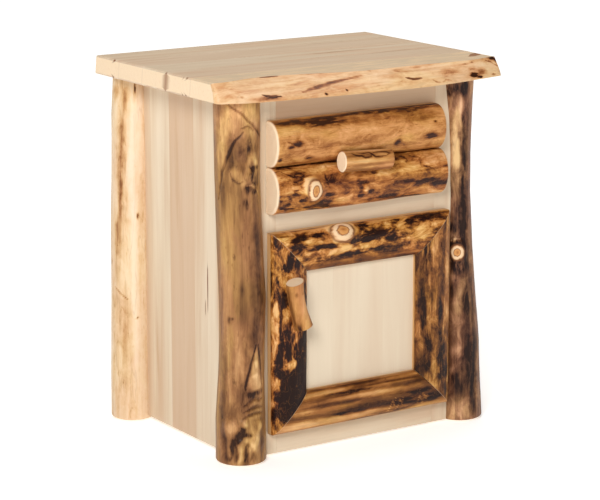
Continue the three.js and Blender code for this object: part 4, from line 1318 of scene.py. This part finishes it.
def door_branch():
    """A bent stub whose pale top cut climbs to the right. Degrees go from right to front."""
    node = "door_pull_branch"
    low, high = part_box(node)
    radius = (high.y - low.y) / 2
    y = (low.y + high.y) / 2
    top = np.array([low.x + radius, y, high.z - CUT_RISE[0] * radius])
    foot = np.array([high.x - radius, y, low.z + STUB_FOOT])
    stations, inset = end_stations(1.0, STUB_END_ROUND, STICK_STEPS, STUB_STATIONS)
    waist = np.sin(math.pi * stations)
    radii = radius * (1 - inset - 0.06 * waist + 0.05 * stations)
    path = top + (foot - top) * stations[:, None]
    path[:, 0] -= STUB_BEND * waist
    skin = swept_round(path, radii, np.eye(3), 330)
    skin.weather(1.2, 0.5, 0.2)
    skin.fields["calm"] += 0.8
    skin.mark("pale", 0.5, (90, 50, 8, 40))
    skin.mark("dark", 0.7, (116, 20, 3, 4), (60, 20, 3, 3), (140, 84, 5, 10))
    skin.mark("stain", 1.1, (20, 60, 6, 60), (176, 60, 6, 60))
    near_top = 1 - smooth_step(skin.along, 0, CUT_FADE)
    rim = skin.points[0]
    level = top[2] + CUT_RISE[0] * (rim[:, 0] - top[0]) + CUT_RISE[1] * (rim[:, 1] - y)
    skin.points[..., 2] += (level - rim[:, 2]) * near_top
    skin.lift *= smooth_step(skin.along, 0, 4 * MM)
    add_object("door_branch", *skin.loft(), TWIG, "door", node, "twig_pull")


# ---- Carried-over CAD pieces ---------------------------------------

CAD_LOOKS = {
    "slide_": STEEL, "catch_strike": STEEL, "hinge_": BRONZE, "drawer_pull_screw": SCREW_ZINC,
    "door_pull_screw": SCREW_ZINC, "magnetic_catch": CATCH, "glide_": GLIDE,
}


def set_look(node, look):
    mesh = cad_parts[node].data
    mesh.materials.clear()
    mesh.materials.append(look)


def dress_cad_nodes():
    """Gives the hidden boards grain, and the metal and plastic pieces their looks."""
    for node in ("cabinet_floor", "dust_panel"):
        corners = corners_of(node)
        fields = {"grain": corners[:, [Y, Z, X]], "tone": np.full(len(corners), 0.4)}
        for key in ("stain", "dark", "pale", "cap"):
            fields[key] = np.zeros(len(corners))
        add_fields(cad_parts[node].data, fields)
        set_look(node, STAVES)
    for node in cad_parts:
        for start, look in CAD_LOOKS.items():
            if node.startswith(start) and not node.startswith("slide_runner"):
                set_look(node, look)


# ---- Studio --------------------------------------------------------

CAMERA_PLACE = (-2.446, -3.687, 1.340)
CAMERA_YAW = math.radians(33.47)
CAMERA_DIP = math.radians(12.76)
CAMERA_LENS = 141.5
CAMERA_SENSOR = 36
LIGHT_TARGET = (0, 0, 0.4)
LIGHT_SIDE = 2.0
LIGHTS = {"key": ((-3.9, -4.2, 3.6), 292), "overhead": ((0.3, 0.4, 2.9), 44)}
FLOOR_REACH = 30.0
FLOOR_PAINT = (0.92, 0.92, 0.915, 1)
SKY_COLOUR = (1, 0.84, 0.64, 1)
SKY_STRENGTH = 0.12


def looking(place, heading):
    """A matrix at place whose -Z axis points along heading, level with the floor."""
    back = -np.array(heading, float) / np.linalg.norm(heading)
    right = np.cross([0, 0, 1], back)
    right /= np.linalg.norm(right)
    matrix = np.eye(4)
    matrix[:3] = np.column_stack([right, np.cross(back, right), back, place])
    return Matrix(matrix.tolist())


def area_light(name, place, power):
    data = bpy.data.lights.new(name, "AREA")
    data.shape = "RECTANGLE"
    data.size = data.size_y = LIGHT_SIDE
    data.energy = power
    link(name, data).matrix_world = looking(place, np.subtract(LIGHT_TARGET, place))


def white_floor():
    """A pale floor that glows more and more away from the part, so that it ends in white."""
    mesh = bpy.data.meshes.new("studio_floor")
    corners = [(x, y, 0) for x, y in ((-1, -1), (1, -1), (1, 1), (-1, 1))]
    mesh.from_pydata([tuple(FLOOR_REACH * c for c in corner) for corner in corners], [], [(0, 1, 2, 3)])
    g = Graph("studio_floor_paint", roughness=0.9)
    g.set("Base Color", FLOOR_PAINT)
    g.set("Emission Color", (1, 1, 1, 1))
    g.set("Emission Strength", g.step(g.length(g.position()), 0.5, 3.0, 0.46, 0.95))
    mesh.materials.append(g.material)
    link("studio_floor", mesh)


def studio():
    white_floor()
    world = bpy.data.worlds.new("studio")
    world.use_nodes = True
    sky = world.node_tree.nodes["Background"]
    sky.inputs["Color"].default_value = SKY_COLOUR
    sky.inputs["Strength"].default_value = SKY_STRENGTH
    bpy.context.scene.world = world
    for name, (place, power) in LIGHTS.items():
        area_light(name, place, power)
    bpy.context.scene.view_settings.view_transform = "Standard"


def camera():
    data = bpy.data.cameras.new("camera")
    data.lens = CAMERA_LENS
    data.sensor_width = CAMERA_SENSOR
    data.clip_end = 100
    view = link("camera", data)
    level = math.cos(CAMERA_DIP)
    heading = (math.sin(CAMERA_YAW) * level, math.cos(CAMERA_YAW) * level, -math.sin(CAMERA_DIP))
    view.matrix_world = looking(CAMERA_PLACE, heading)
    bpy.context.scene.camera = view


# ---- Build ---------------------------------------------------------

camera()
studio()
add_post("front_left", POST_LEFT, 3, (1.3, 0.5, 0.25), mark_front_left)
add_post("front_right", POST_RIGHT, 5, (1.0, 0.5, 0.3), mark_front_right)
add_post("rear_left", POST_REAR, 8, (1.2, 0.45, 0.2), mark_rear_left)
add_post("rear_right", POST_LEFT, 12, (1.4, 0.55, 0.25), mark_rear_right)
add_split_log("drawer", "upper", DRAWER_UPPER, 21, (1.1, 0.4, 0.2), mark_drawer_upper)
add_split_log("drawer", "lower", DRAWER_LOWER, 24, (1.6, 0.7, 0.35), mark_drawer_lower)
add_split_log("door", "left", DOOR_LOG, 31, (1.5, 0.6, 0.3), mark_door_left)
add_split_log("door", "right", DOOR_LOG_BROWN, 35, (1.3, 0.5, 0.3), mark_door_right)
add_split_log("door", "top", DOOR_LOG, 38, (1.5, 0.6, 0.3), mark_door_top)
add_split_log("door", "bottom", DOOR_LOG_BROWN, 42, (1.3, 0.5, 0.3), mark_door_bottom)
side_panels()
door_staves()
face_frame()
inner_boards()
slab_boards()
live_edge_board()
drawer_peg()
door_branch()
dress_cad_nodes()
